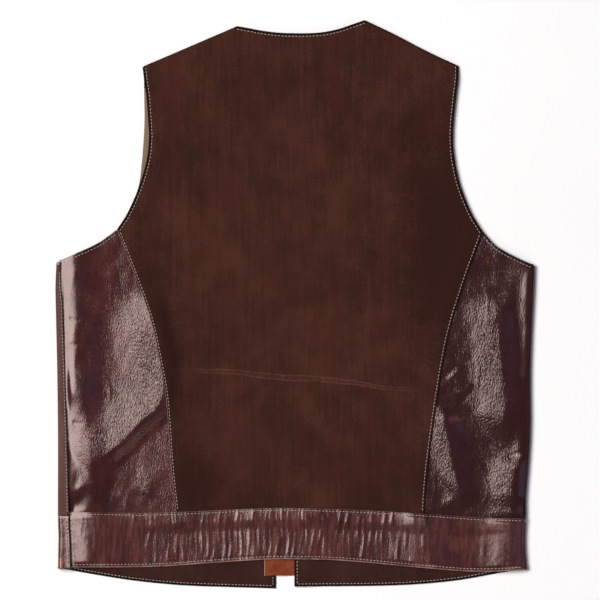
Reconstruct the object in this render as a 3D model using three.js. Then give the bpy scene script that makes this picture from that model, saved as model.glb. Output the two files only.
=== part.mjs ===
// A leather vest laid flat on its fronts with its back up, in millimetres. +X runs to the wearer's right,
// +Y to the neck and +Z up. The origin is on the surface under the middle of the vest.
import * as THREE from "three";

// Leather and cloth thicknesses, and the gap between pieces that are sewn or lie together
const FRONT = 1.3;
const BACK = 1.3;
const SIDE = 1.2;
const BAND = 1.5;
const TAB = 1.6;
const LINING = 1.0;
const GAP = 0.3;

// The side folds, where the fronts turn up round the edge of the vest
const FOLD_RADIUS = 4.0;
const FOLD_STEPS = 6;
const RIGHT_FRONT_TURN = THREE.MathUtils.degToRad(115);
const SIDE_BACK_TURN = THREE.MathUtils.degToRad(95);
const SIDE_BACK_RADIUS = FOLD_RADIUS - FRONT - GAP;
const LEAST_STRIP = 1.5;

// How far one piece reaches under the next at a lapped seam, and where the upper one has come down
const LAP = 9;
const LAP_END = 11;
const LAP_SLOPE_END = 25;
const BAND_LAP = 9;
const BAND_STEP = { from: -5, to: -1 };
const BAND_SETTLE = { from: 11, to: 24 };

// Columns near the side edges of the centre back and of the side backs, by distance from the edge
const BACK_EDGE_COLUMNS = [0, 5, LAP_END, 17, LAP_SLOPE_END];
const STRIP_COLUMNS = [0, 13];
const RIGHT_FOLD_COLUMNS = [0, 8, 18];

// Air between the fronts and the back: all over, and at the side folds above the waistband and at it
const AIR = 0.5;
const LEAST_AIR = 0.1;
const SIDE_LOFT = 3.1;
const BAND_LOFT = 1.0;
const LOFT_LEFT = { flat: 17, end: 75 };
const LOFT_RIGHT = { flat: 5, end: 70 };
const LOFT_DROP = { low: -226, high: -208 };
const SIDE_TUCK = { depth: 3, low: -236, high: -226 };
const SHOULDER_PRESS = 14;

// The closing tab at the centre front, and the right waistband that it lifts
const TAB_SIZE = { left: -33.9, right: 6, bottom: -298.9, top: -249 };
const TAB_RAMP = { left: -19, right: -5 };
const TAB_BED = { rise: 1.6, x: -12, y: -275, halfWidth: 30, halfHeight: 38, fade: 28 };
const RIGHT_LIFT = { flat: 10, end: 36, low: -245, high: -212 };

// Creases across the waistband: where they are, their pitch and height, and how uneven they are
const CREASE = { left: -95, right: 150, fade: 45, pitch: 8.6, height: 0.28 };
const CREASE_WANDER = { size: 1.4, length: 31, slant: 17 };
const CREASE_UNEVEN = { share: 0.35, length: 7.3 };
const CREASE_STEPS = 3.5;
const PLAIN_BAND_STEP = 11;

// The lining at the left armhole, from the front's edge to under the back
const LINING_PLACE = { low: 98, high: 238, fromFrontEdge: 0.4, underBack: 9.5 };

const FINISH = {
  roughout: { color: 0x3d251d, roughness: 0.85 },
  pebbled: { color: 0x4a2220, roughness: 0.35 },
  waistband: { color: 0x4a2722, roughness: 0.32 },
  front: { color: 0x4a2c22, roughness: 0.8 },
  twill: { color: 0x8a7058, roughness: 0.9 },
  suede: { color: 0x7d3c26, roughness: 0.9 },
};

// A short table: its column names, then a row for each point or fold.
function table(columns, rows) {
  const names = columns.split(" ");
  return rows.map((row) => Object.fromEntries(row.map((value, k) => [names[k], value])));
}

const NECK = table("x y", [
  [-64, 306.1],
  [-51.9, 303.9],
  [-38.7, 301.4],
  [-18.9, 298.9],
  [5.3, 298.2],
  [27.3, 299.1],
  [47.1, 302.8],
  [60.3, 307.2],
  [76.2, 312.7],
]);
const SHOULDER_LEFT = table("x y", [
  [-168, 260.5],
  [-164.1, 263.2],
  [-137.7, 274.4],
  [-64, 306.1],
]);
const SHOULDER_RIGHT = table("x y", [
  [76.2, 312.7],
  [106.5, 298.4],
  [146.1, 277.9],
  [179.9, 262.1],
]);
const ARMHOLE_LEFT = table("x y", [
  [-196, 82.3],
  [-184.5, 100.4],
  [-172, 129],
  [-163.4, 158.7],
  [-160.9, 181.8],
  [-161.3, 196.1],
  [-163.5, 226.9],
  [-165.4, 240.6],
  [-168, 260.5],
]);
const ARMHOLE_RIGHT = table("x y", [
  [206.6, 79.5],
  [193.4, 101.5],
  [181.3, 132.3],
  [174.7, 165.3],
  [173.9, 193.9],
  [177.4, 230.2],
  [179.4, 246.7],
  [179.9, 262.1],
]);
const UNDERARM_LEFT = table("x y", [
  [-262, 46.5],
  [-243.3, 55],
  [-216.9, 67.4],
  [-196, 82.3],
  [-186, 87.5],
]);
const UNDERARM_RIGHT = table("x y", [
  [196, 85],
  [206.6, 79.5],
  [218.7, 66.3],
  [231.9, 57.5],
  [251.7, 47.6],
  [263.8, 42.8],
]);
const SEAM_LEFT = table("x y", [
  [-130, -238.4],
  [-136.1, -183.4],
  [-142.1, -104.2],
  [-148.7, -64.6],
  [-156.6, -26.1],
  [-167.4, 8],
  [-196, 82.3],
]);
const SEAM_RIGHT = table("x y", [
  [141.7, -238.4],
  [145.5, -183.4],
  [156, -105.3],
  [168.6, -34.9],
  [186.8, 25.6],
  [206.6, 79.5],
]);
const OUTLINE_LEFT = table("y x strip", [
  [-290, -261.1, 15.1],
  [-274.7, -260.8, 14.4],
  [-253.8, -260.4, 12.9],
  [-232.9, -261, 12.4],
  [-160.3, -260.9, 10.5],
  [-104.2, -261.3, 9.2],
  [-53.6, -262.2, 8.5],
  [2.5, -263.5, 7.9],
  [21.2, -263.7, 6.5],
  [42.1, -262.8, 5.2],
]);
const OUTLINE_RIGHT = table("y x", [
  [-291.2, 255.5],
  [-264.8, 253.4],
  [-235.1, 254.3],
  [-212, 254.4],
  [-171.3, 257.5],
  [-132.8, 259.4],
  [-77.8, 259.2],
  [-28.3, 260.8],
  [13.5, 262.9],
  [42.1, 263.9],
]);
const BAND_TOP = table("x y", [
  [-260, -227.8],
  [-192.7, -229.3],
  [-159.7, -229.6],
  [-97, -227.2],
  [-27.7, -224.1],
  [5.3, -224.3],
  [68, -226.3],
  [142.8, -230.4],
  [203.3, -234.6],
  [258, -235.7],
]);
const BAND_BOTTOM = table("x y", [
  [-260, -289.3],
  [-159.7, -288.9],
  [-97, -285],
  [-33.2, -280.8],
  [5.3, -280.5],
  [55.9, -282.4],
  [157.1, -291.6],
  [203.3, -294.2],
  [258, -292],
]);
const HEM_LEFT = table("x y", [
  [-261.1, -290.1],
  [-223.5, -296.9],
  [-177.3, -304.1],
  [-124.5, -309.2],
  [-65.1, -311.4],
  [-21.1, -312.7],
]);
const HEM_RIGHT = table("x y", [
  [-0.9, -310.6],
  [106.5, -309.4],
  [172.5, -304.5],
  [225.3, -295.6],
  [255.5, -291.5],
]);
const FRONT_ARMHOLE_LEFT = table("x y", [
  [-258, 46.2],
  [-243.3, 53.1],
  [-216.9, 65.8],
  [-194.9, 80.6],
  [-184.5, 98.8],
  [-172.8, 128],
  [-168.7, 156.5],
  [-166, 195.7],
  [-166, 223.6],
  [-166.8, 259.3],
]);
const FRONT_ARMHOLE_RIGHT = table("x y", [
  [259.5, 42.5],
  [251, 46],
  [231, 55.8],
  [217.4, 64.6],
  [205.2, 78.2],
  [192, 100.5],
  [179.9, 131.5],
  [173.3, 165],
  [172.6, 194],
  [176, 230.5],
  [178.4, 261.2],
]);
const NECKLINE_LEFT = table("x y", [
  [-21.1, 16],
  [-26, 60],
  [-45, 190],
  [-65.5, 304],
]);
const NECKLINE_RIGHT = table("x y", [
  [-0.9, 16],
  [8, 60],
  [45, 190],
  [77.6, 310.5],
]);
const FRONT_FOOT = { side: -232.6, centre: -252.4 };

// Soft ridges and troughs of the back, each with its middle, its direction in degrees, its half length
// and half width, and its height.
const FOLDS = table("x y turn long wide height", [
  [-184, -80, 72, 85, 20, 0.7],
  [-206, -150, 60, 45, 12, -0.45],
  [-190, 20, 40, 40, 18, 0.4],
  [214, -83, 95, 90, 17, 0.55],
  [180, -140, 100, 60, 12, -0.45],
  [225, 10, 60, 35, 12, -0.4],
  [-60, 190, 80, 90, 34, 0.35],
  [60, 120, 100, 110, 40, -0.3],
  [-80, -10, 20, 90, 34, 0.35],
  [90, -30, 160, 80, 36, 0.4],
  [-70, -150, 95, 70, 30, -0.3],
  [40, -160, 85, 60, 28, 0.35],
]);

// A share that goes smoothly from 0 at low to 1 at high.
const rise = (value, low, high) => THREE.MathUtils.smoothstep(value, low, high);
const mix = THREE.MathUtils.lerp;

// Points at even steps on a smooth curve through a table's rows.
function spaced(points, steps) {
  const curve = new THREE.SplineCurve(points.map(({ x, y }) => new THREE.Vector2(x, y)));
  return curve.getSpacedPoints(steps);
}

// Reads column `to` of a table, or of a list of points, where column `from` has a value.
function reader(points, from, to) {
  const sorted = [...points].sort((a, b) => a[from] - b[from]);
  return (value) => {
    let k = 1;
    while (k < sorted.length - 1 && sorted[k][from] < value) {
      k += 1;
    }
    const [a, b] = [sorted[k - 1], sorted[k]];
    const share = THREE.MathUtils.clamp((value - a[from]) / (b[from] - a[from]), 0, 1);
    return mix(a[to], b[to], share);
  };
}

const READ_STEPS = 48;
const shoulders = [
  ...spaced(SHOULDER_LEFT, READ_STEPS),
  ...spaced(NECK, READ_STEPS).slice(1),
  ...spaced(SHOULDER_RIGHT, READ_STEPS).slice(1),
];
const backTopAt = reader(shoulders, "x", "y");
const bandTopAt = reader(spaced(BAND_TOP, READ_STEPS), "x", "y");
const bandBottomAt = reader(spaced(BAND_BOTTOM, READ_STEPS), "x", "y");
const underarmLeftAt = reader(spaced(UNDERARM_LEFT, READ_STEPS), "x", "y");
const underarmRightAt = reader(spaced(UNDERARM_RIGHT, READ_STEPS), "x", "y");
const hemLeftAt = reader(spaced(HEM_LEFT, READ_STEPS), "x", "y");
const hemRightAt = reader(spaced(HEM_RIGHT, READ_STEPS), "x", "y");
const seamLeftAt = reader(spaced(SEAM_LEFT, READ_STEPS), "y", "x");
const seamRightAt = reader(spaced(SEAM_RIGHT, READ_STEPS), "y", "x");
const outlineLeftAt = reader(spaced(OUTLINE_LEFT, READ_STEPS), "y", "x");
const outlineRightAt = reader(spaced(OUTLINE_RIGHT, READ_STEPS), "y", "x");
const stripAt = reader(OUTLINE_LEFT, "y", "strip");

// The middle of each side fold: a front is flat inside it and turns up outside it.
const foldLeft = (y) => outlineLeftAt(y) + FOLD_RADIUS;
const foldRight = (y) => outlineRightAt(y) - FOLD_RADIUS;

// How much of the side loft a place has: 1 beside a fold and 0 far from both.
function nearFold(x, y) {
  const left = 1 - rise(x - outlineLeftAt(y), LOFT_LEFT.flat, LOFT_LEFT.end);
  const right = 1 - rise(outlineRightAt(y) - x, LOFT_RIGHT.flat, LOFT_RIGHT.end);
  return Math.max(left, right);
}

function foldHeight(x, y) {
  return FOLDS.reduce((sum, fold) => {
    const turn = THREE.MathUtils.degToRad(fold.turn);
    const [dx, dy] = [x - fold.x, y - fold.y];
    const along = (dx * Math.cos(turn) + dy * Math.sin(turn)) / fold.long;
    const across = (dy * Math.cos(turn) - dx * Math.sin(turn)) / fold.wide;
    return sum + fold.height * Math.exp(-along * along - across * across);
  }, 0);
}

// How much the closing tab lifts what lies over it.
function tabShare(x, y) {
  const { halfWidth, halfHeight, fade } = TAB_BED;
  const across = 1 - rise(Math.abs(x - TAB_BED.x), halfWidth, halfWidth + fade);
  const along = 1 - rise(Math.abs(y - TAB_BED.y), halfHeight, halfHeight + fade);
  return across * along;
}

// The underside of the lowest back layer.
function bed(x, y) {
  const near = nearFold(x, y);
  const loft = mix(BAND_LOFT, SIDE_LOFT, rise(y, LOFT_DROP.low, LOFT_DROP.high));
  const soft = Math.max(foldHeight(x, y) * (1 - near), LEAST_AIR - AIR);
  return FRONT + GAP + AIR + loft * near + soft * (1 - tabShare(x, y)) + TAB_BED.rise * tabShare(x, y);
}

// The lift of an upper piece over the hidden edge of the one below, by the distance from its own edge.
const lapLift = (distance, height) => height * (1 - rise(distance, LAP_END, LAP_SLOPE_END));

// How far a place is pressed down by the shoulder seams, where the back meets the fronts.
function shoulderPress(x, y) {
  const neckLeft = NECK[0].x;
  const neckRight = NECK.at(-1).x;
  const inNeck = Math.min(x - neckLeft, neckRight - x);
  const below = 1 - rise(backTopAt(x) - y, 0, SHOULDER_PRESS);
  return below * (1 - rise(inNeck, 0, SHOULDER_PRESS));
}

function backUnderside(x, y, fromEdge) {
  const free = bed(x, y) + lapLift(fromEdge, SIDE + GAP);
  return mix(free, FRONT + GAP, shoulderPress(x, y));
}

// The underside of the back waistband: over the pieces that it laps, then down towards the fronts.
function bandUnderside(x, y, top) {
  const fromSeam = Math.min(x - seamLeftAt(y), seamRightAt(y) - x);
  const overSides = SIDE + GAP;
  const overCentre = BACK + GAP + lapLift(fromSeam, SIDE + GAP);
  const layers = mix(overSides, overCentre, rise(fromSeam, BAND_STEP.from, BAND_STEP.to)) + GAP / 2;
  const settled = rise(top - y, BAND_SETTLE.from, BAND_SETTLE.to);
  const share = Math.max(1 - settled, nearFold(x, y));
  return bed(x, y) + mix(GAP, layers, share);
}

// The small creases across the waistband.
function creaseHeight(x, depth) {
  const begun = rise(x, CREASE.left - CREASE.fade, CREASE.left);
  const ended = rise(x, CREASE.right, CREASE.right + CREASE.fade);
  const wander = CREASE_WANDER.size * Math.sin(x / CREASE_WANDER.length + depth / CREASE_WANDER.slant);
  const wave = Math.sin((2 * Math.PI * x) / CREASE.pitch + wander);
  const uneven = 1 - CREASE_UNEVEN.share * (1 + Math.sin(x / CREASE_UNEVEN.length));
  return CREASE.height * begun * (1 - ended) * uneven * wave;
}

// A closed wall. Each cell of the grid holds a point of its face, the same point of its back, or null
// where the wall is cut away. Rows run up and columns across, anticlockwise as seen from the face.
function wall(name, grid, finish) {
  const positions = [];
  const index = new Map();
  grid.forEach((row, i) =>
    row.forEach((cell, j) => {
      if (!cell) {
        return;
      }
      index.set(`${i},${j}`, positions.length / 3);
      positions.push(...cell.face.toArray(), ...cell.back.toArray());
    }),
  );
  const corners = (i, j) => [`${i},${j}`, `${i},${j + 1}`, `${i + 1},${j + 1}`, `${i + 1},${j}`];
  const quads = grid
    .slice(1)
    .flatMap((row, i) => row.slice(1).map((cell, j) => corners(i, j)))
    .filter((keys) => keys.every((key) => index.has(key)))
    .map((keys) => keys.map((key) => index.get(key)));
  const edges = new Map();
  const faces = [];
  quads.forEach(([a, b, c, d]) => {
    faces.push(a, b, c, a, c, d);
    faces.push(a + 1, c + 1, b + 1, a + 1, d + 1, c + 1);
    const ring = [a, b, c, d];
    ring.forEach((from, k) => edges.set(`${from},${ring[(k + 1) % 4]}`, [from, ring[(k + 1) % 4]]));
  });
  edges.forEach(([from, to]) => {
    if (!edges.has(`${to},${from}`)) {
      faces.push(from, from + 1, to + 1, from, to + 1, to);
    }
  });
  const geometry = new THREE.BufferGeometry();
  geometry.setAttribute("position", new THREE.Float32BufferAttribute(positions, 3));
  geometry.setIndex(faces);
  geometry.computeVertexNormals();
  const mesh = new THREE.Mesh(geometry, new THREE.MeshStandardMaterial({ ...finish, metalness: 0 }));
  mesh.name = name;
  return mesh;
}

// Plan points of a panel between its left and right edges. The first columns lie at set distances from
// each edge and the others at even shares between them. The end rows follow their own lines.
function plan({ left, right, top, bottom, fromLeft, fromRight, shares }) {
  const last = left.length - 1;
  const [a, b] = [fromLeft.at(-1), fromRight.at(-1)];
  const rows = left.map((start, i) => {
    const width = start.distanceTo(right[i]);
    const inner = shares.map((share) => a + share * (width - a - b));
    const outer = [...fromRight].reverse().map((distance) => width - distance);
    return [...fromLeft, ...inner, ...outer].map((place) => {
      const { x, y } = start.clone().lerp(right[i], place / width);
      return { x, y, fromEdge: Math.min(place, width - place) };
    });
  });
  const upper = rows[last].map(({ x, y }) => (top ? top(x) - y : 0));
  const lower = rows[0].map(({ x, y }) => (bottom ? bottom(x) - y : 0));
  return rows.map((row, i) =>
    row.map((cell, j) => {
      const share = i / last;
      const shift = upper[j] * share * share + lower[j] * (1 - share) * (1 - share);
      return { ...cell, y: cell.y + shift };
    }),
  );
}

// A cell of a layer that lies flat, from its underside up.
function layer(x, y, under, thickness, relief = 0) {
  const face = new THREE.Vector3(x, y, under + thickness + relief);
  return { face, back: new THREE.Vector3(x, y, under) };
}

// A cell on a side fold, turned up from the surface round the fold's middle. The face is the inside.
function turned(side, middle, y, angle) {
  const at = (radius) =>
    new THREE.Vector3(
      middle + side * radius * Math.sin(angle),
      y,
      FOLD_RADIUS - radius * Math.cos(angle),
    );
  return { face: at(FOLD_RADIUS - FRONT), back: at(FOLD_RADIUS) };
}

// A cell on the strip where the left front comes back over the vest, by its distance from the fold.
function overStrip(middle, y, distance) {
  const x = middle + distance;
  return {
    face: new THREE.Vector3(x, y, 2 * FOLD_RADIUS - FRONT),
    back: new THREE.Vector3(x, y, 2 * FOLD_RADIUS),
  };
}

const evenShares = (count) => Array.from({ length: count }, (unused, k) => (k + 1) / (count + 1));

// Columns of the centre back between its edge columns: left of the neck, under it and right of it
const BACK_COLUMNS = [4, 7, 4];
const BACK_ROWS = { seam: 13, armhole: 11 };

// Shares of the span between the outer columns, with columns at both neck points.
function backShares(edge) {
  const ends = { left: SHOULDER_LEFT[0].x + edge, right: SHOULDER_RIGHT.at(-1).x - edge };
  const shareAt = (x) => (x - ends.left) / (ends.right - ends.left);
  const knots = [0, shareAt(NECK[0].x), shareAt(NECK.at(-1).x), 1];
  const counts = BACK_COLUMNS;
  const shares = counts.flatMap((count, k) =>
    Array.from({ length: count }, (unused, step) => mix(knots[k], knots[k + 1], (step + 1) / count)),
  );
  return shares.slice(0, -1);
}

function backCentre() {
  const sideEdge = (seam, armhole) => [
    ...spaced(seam, BACK_ROWS.seam),
    ...spaced(armhole, BACK_ROWS.armhole).slice(1),
  ];
  const cells = plan({
    left: sideEdge(SEAM_LEFT, ARMHOLE_LEFT),
    right: sideEdge(SEAM_RIGHT, ARMHOLE_RIGHT),
    top: backTopAt,
    bottom: (x) => bandTopAt(x) - BAND_LAP,
    fromLeft: BACK_EDGE_COLUMNS,
    fromRight: BACK_EDGE_COLUMNS,
    shares: backShares(LAP_SLOPE_END),
  });
  const grid = cells.map((row) =>
    row.map(({ x, y, fromEdge }) => layer(x, y, backUnderside(x, y, fromEdge), BACK)),
  );
  return wall("back_centre", grid, FINISH.roughout);
}

// Shares of a side back's height: close rows where it goes under the waistband, then even ones.
const SIDE_SHARES = [0, 0.04, 0.08, 0.12, 0.2, 0.3, 0.4, 0.5, 0.6, 0.7, 0.8, 0.9, 1];

// Rows at these shares of the height, on a side fold's middle line.
const foldRows = (middleAt, low, high, shares) =>
  shares.map((share) => new THREE.Vector2(middleAt(mix(low, high, share)), mix(low, high, share)));

// Rows at these shares of the length of a seam, moved sideways to the hidden edge of its lap.
function lappedRows(seam, dx, shares) {
  const curve = new THREE.SplineCurve(seam.map(({ x, y }) => new THREE.Vector2(x + dx, y)));
  return shares.map((share) => curve.getPointAt(share));
}

function backSideLeft() {
  const low = bandTopAt(foldLeft(BAND_TOP[0].y)) - BAND_LAP;
  const high = underarmLeftAt(foldLeft(OUTLINE_LEFT.at(-1).y));
  const cells = plan({
    left: foldRows(foldLeft, low, high, SIDE_SHARES),
    right: lappedRows(SEAM_LEFT, LAP, SIDE_SHARES),
    top: underarmLeftAt,
    bottom: (x) => bandTopAt(x) - BAND_LAP,
    fromLeft: STRIP_COLUMNS,
    fromRight: [0, LAP],
    shares: evenShares(5),
  });
  const grid = cells.map((row) => row.map(({ x, y }) => layer(x, y, bed(x, y), SIDE)));
  return wall("back_side_left", grid, FINISH.pebbled);
}

// Columns that turn down round the right fold from the last cell of a row that lies flat.
function rolled(cell, angles, radius) {
  const { x, y, z } = cell.face;
  const thickness = z - cell.back.z;
  const at = (r, angle) => new THREE.Vector3(x + r * Math.sin(angle), y, z - radius + r * Math.cos(angle));
  return angles.map((angle) => ({ face: at(radius, angle), back: at(radius - thickness, angle) }));
}

const ROLL_STEPS = 4;
const LEAST_TURN = 0.1;
const rollAngles = (turn, count) => Array.from({ length: count }, (unused, k) => (turn * (k + 1)) / count);

// The right side back's last flat column: on the fold, but drawn in where the waistband covers it.
const sideEndRight = (y) => foldRight(y) - SIDE_TUCK.depth * (1 - rise(y, SIDE_TUCK.low, SIDE_TUCK.high));

function backSideRight() {
  const low = bandTopAt(foldRight(BAND_TOP.at(-1).y)) - BAND_LAP;
  const high = underarmRightAt(foldRight(OUTLINE_RIGHT.at(-1).y));
  const cells = plan({
    left: lappedRows(SEAM_RIGHT, -LAP, SIDE_SHARES),
    right: foldRows(sideEndRight, low, high, SIDE_SHARES),
    top: underarmRightAt,
    bottom: (x) => bandTopAt(x) - BAND_LAP,
    fromLeft: [0, LAP],
    fromRight: RIGHT_FOLD_COLUMNS,
    shares: evenShares(5),
  });
  const grid = cells.map((row) => {
    const flat = row.map(({ x, y }) => layer(x, y, bed(x, y), SIDE));
    const height = flat.at(-1).face.z - FOLD_RADIUS;
    const turn = SIDE_BACK_TURN * THREE.MathUtils.clamp(height / SIDE_BACK_RADIUS, LEAST_TURN, 1);
    return [...flat, ...rolled(flat.at(-1), rollAngles(turn, ROLL_STEPS), SIDE_BACK_RADIUS)];
  });
  return wall("back_side_right", grid, FINISH.pebbled);
}

// Shares across the waistband: close columns where it is creased and wider ones at its plain ends.
function bandShares(left, right) {
  const xs = [];
  let x = left;
  while (x < right) {
    xs.push(x);
    const creased = x > CREASE.left - CREASE.fade && x < CREASE.right + CREASE.fade;
    x += creased ? CREASE.pitch / CREASE_STEPS : PLAIN_BAND_STEP;
  }
  xs.push(right);
  return xs.map((value) => (value - left) / (right - left));
}

// Rows of the waistband by their distance below its top edge, from its lower edge up
const BAND_DROPS = [Infinity, 40, BAND_SETTLE.to, BAND_SETTLE.from, 0];

function backBand() {
  const middleY = (BAND_TOP[0].y + BAND_BOTTOM[0].y) / 2;
  const ends = { left: foldLeft(middleY), right: foldRight(middleY) };
  const shares = bandShares(ends.left, ends.right);
  const grid = BAND_DROPS.map((drop) => {
    const flat = shares.map((share) => {
      const near = mix(ends.left, ends.right, share);
      const y = Math.max(bandTopAt(near) - drop, bandBottomAt(near));
      const x = mix(foldLeft(y), foldRight(y), share);
      const top = bandTopAt(x);
      const under = bandUnderside(x, y, top);
      return layer(x, y, under, BAND, creaseHeight(x, top - y));
    });
    return [...flat, ...rolled(flat.at(-1), rollAngles(SIDE_BACK_TURN, ROLL_STEPS), SIDE_BACK_RADIUS)];
  });
  return wall("back_band", grid, FINISH.waistband);
}

const FRONT_ROWS = { fold: 11, armhole: 11 };
const FRONT_COLUMNS = { left: 4, right: 3, tab: [0, 11, 23, 37] };

// A front's side edge: up the middle of its fold, then along its armhole.
function frontSide(middleAt, armhole) {
  const shares = [0, ...evenShares(FRONT_ROWS.fold - 1), 1];
  const fold = foldRows(middleAt, FRONT_FOOT.side, armhole[0].y, shares);
  return [...fold, ...spaced(armhole, FRONT_ROWS.armhole).slice(1)];
}

// A front's centre edge: straight up, then along the neckline to the shoulder.
function frontCentre(neckline) {
  const edge = [
    { x: neckline[0].x, y: FRONT_FOOT.centre },
    { x: neckline[0].x, y: neckline[0].y },
  ];
  return [...spaced(edge, FRONT_ROWS.fold), ...spaced(neckline, FRONT_ROWS.armhole).slice(1)];
}

// How far the right front stands over the closing tab.
function rightLift(x, y) {
  const across = 1 - rise(x, RIGHT_LIFT.flat, RIGHT_LIFT.end);
  return (TAB + GAP) * across * (1 - rise(y, RIGHT_LIFT.low, RIGHT_LIFT.high));
}

// The columns of the left fold, from the edge of the strip on the back round to the surface.
function leftFold(y) {
  const middle = foldLeft(y);
  const strip = Math.max(stripAt(y) - FOLD_RADIUS, LEAST_STRIP);
  const angles = Array.from({ length: FOLD_STEPS }, (unused, k) => Math.PI * (1 - k / FOLD_STEPS));
  return [overStrip(middle, y, strip), ...angles.map((angle) => turned(-1, middle, y, angle))];
}

function rightFold(y) {
  const steps = FOLD_STEPS - 2;
  return rollAngles(RIGHT_FRONT_TURN, steps).map((angle) => turned(1, foldRight(y), y, angle));
}

function frontLeft() {
  const cells = plan({
    left: frontSide(foldLeft, FRONT_ARMHOLE_LEFT),
    right: frontCentre(NECKLINE_LEFT),
    fromLeft: [0],
    fromRight: [0],
    shares: evenShares(FRONT_COLUMNS.left),
  });
  const grid = cells.map((row, i) => {
    const flat = row.map(({ x, y }) => layer(x, y, 0, FRONT));
    const folded = i <= FRONT_ROWS.fold;
    const fold = leftFold(row[0].y).map((cell) => (folded ? cell : null));
    return [...fold, ...flat];
  });
  return wall("front_left", grid, FINISH.front);
}

function frontRight() {
  const cells = plan({
    left: frontCentre(NECKLINE_RIGHT),
    right: frontSide(foldRight, FRONT_ARMHOLE_RIGHT),
    fromLeft: FRONT_COLUMNS.tab,
    fromRight: [0],
    shares: evenShares(FRONT_COLUMNS.right),
  });
  const grid = cells.map((row, i) => {
    const flat = row.map(({ x, y }) => layer(x, y, rightLift(x, y), FRONT));
    const folded = i <= FRONT_ROWS.fold;
    const fold = rightFold(row.at(-1).y).map((cell) => (folded ? cell : null));
    return [...flat, ...fold];
  });
  return wall("front_right", grid, FINISH.front);
}

const FRONT_BAND_ROWS = 3;
const RIGHT_BAND_SHARES = [0.91, 0.955];

// A front's own waistband, between the lower edge of the front and the hem.
function frontBand(name, { centre, middleAt, hemAt, left, shares, lift }) {
  const side = middleAt(FRONT_FOOT.side);
  const xs = shares.map((share) => mix(side, centre, share)).sort((a, b) => a - b);
  const topAt = (x) => mix(FRONT_FOOT.side, FRONT_FOOT.centre, (x - side) / (centre - side)) - GAP;
  const grid = Array.from({ length: FRONT_BAND_ROWS + 1 }, (unused, i) => {
    const heightAt = (x) => mix(hemAt(x), topAt(x), i / FRONT_BAND_ROWS);
    const flat = xs.map((x) => layer(x, heightAt(x), lift(x, heightAt(x)), FRONT));
    const y = heightAt(side);
    return left ? [...leftFold(y), ...flat] : [...flat, ...rightFold(y)];
  });
  return wall(name, grid, FINISH.waistband);
}

const frontBandLeft = () =>
  frontBand("front_band_left", {
    centre: NECKLINE_LEFT[0].x,
    middleAt: foldLeft,
    hemAt: hemLeftAt,
    left: true,
    shares: [0, ...evenShares(9), 1],
    lift: () => 0,
  });

const frontBandRight = () =>
  frontBand("front_band_right", {
    centre: NECKLINE_RIGHT[0].x,
    middleAt: foldRight,
    hemAt: hemRightAt,
    left: false,
    shares: [0, ...evenShares(8), ...RIGHT_BAND_SHARES, 1],
    lift: rightLift,
  });

const LINING_ROWS = 12;

// The lining lies on the inside of the left front, along its armhole.
function armholeLining() {
  const { low, high, fromFrontEdge, underBack } = LINING_PLACE;
  const frontEdgeAt = reader(spaced(FRONT_ARMHOLE_LEFT, READ_STEPS), "y", "x");
  const backEdgeAt = reader(spaced(ARMHOLE_LEFT, READ_STEPS), "y", "x");
  const grid = [0, ...evenShares(LINING_ROWS - 1), 1].map((share) => {
    const y = mix(low, high, share);
    const xs = [frontEdgeAt(y) + fromFrontEdge, backEdgeAt(y), backEdgeAt(y) + underBack];
    return xs.map((x) => layer(x, y, FRONT + GAP, LINING));
  });
  return wall("armhole_lining_left", grid, FINISH.twill);
}

// The tab lies on the left front, crosses the gap and goes under the right front.
function frontTab() {
  const { left, right, bottom, top } = TAB_SIZE;
  const ramp = [0, ...evenShares(3), 1].map((share) => mix(TAB_RAMP.left, TAB_RAMP.right, share));
  const xs = [left, ...ramp, right];
  const underAt = (x) => (FRONT + GAP) * (1 - rise(x, TAB_RAMP.left, TAB_RAMP.right));
  const grid = [bottom, top].map((y) => xs.map((x) => layer(x, y, underAt(x), TAB)));
  return wall("front_tab", grid, FINISH.suede);
}

const vest = new THREE.Group();
vest.add(backCentre(), backSideLeft(), backSideRight(), backBand());
vest.add(frontLeft(), frontRight(), frontBandLeft(), frontBandRight());
vest.add(armholeLining(), frontTab());

export default vest;
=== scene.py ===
"""A leather vest laid flat on its fronts with its back up, for a studio picture."""

import math
import random

import bmesh
import bpy
import numpy as np
from bpy.props import FloatProperty, FloatVectorProperty, IntProperty, PointerProperty
from mathutils import Matrix, Vector


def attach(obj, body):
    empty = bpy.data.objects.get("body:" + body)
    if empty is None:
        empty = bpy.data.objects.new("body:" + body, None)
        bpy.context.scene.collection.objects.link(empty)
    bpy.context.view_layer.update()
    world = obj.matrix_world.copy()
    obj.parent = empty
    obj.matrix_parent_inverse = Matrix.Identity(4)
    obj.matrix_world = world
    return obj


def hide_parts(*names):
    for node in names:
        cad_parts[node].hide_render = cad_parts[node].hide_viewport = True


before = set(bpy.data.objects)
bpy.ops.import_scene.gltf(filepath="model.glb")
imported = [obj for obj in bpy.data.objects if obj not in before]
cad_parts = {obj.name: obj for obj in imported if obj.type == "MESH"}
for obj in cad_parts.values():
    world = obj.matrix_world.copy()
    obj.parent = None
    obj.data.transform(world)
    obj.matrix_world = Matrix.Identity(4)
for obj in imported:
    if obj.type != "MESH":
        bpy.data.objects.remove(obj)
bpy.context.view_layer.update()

bl_info = {
    "name": "Laid leather vest",
    "version": (1, 0, 0),
    "blender": (4, 5, 0),
    "location": "3D View > Sidebar > Vest",
    "description": "Cuts, sews and finishes a leather vest that lies flat with its back up",
    "category": "Object",
}

# Shapes are worked out in millimetres, in the frame's axes, and meshes are made in metres
MM = 0.001

# Thicknesses of the leathers and cloths, and the gap between pieces that lie together
FRONT = 1.3
BACK = 1.3
SIDE = 1.2
BAND = 1.5
TAB = 1.6
LINING = 1.0
GAP = 0.3

# The side folds
FOLD_RADIUS = 4.0
ROLL_RADIUS = FOLD_RADIUS - FRONT - GAP
RIGHT_FRONT_TURN = math.radians(115)
SIDE_BACK_TURN = math.radians(95)
LEAST_STRIP = 1.5

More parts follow.
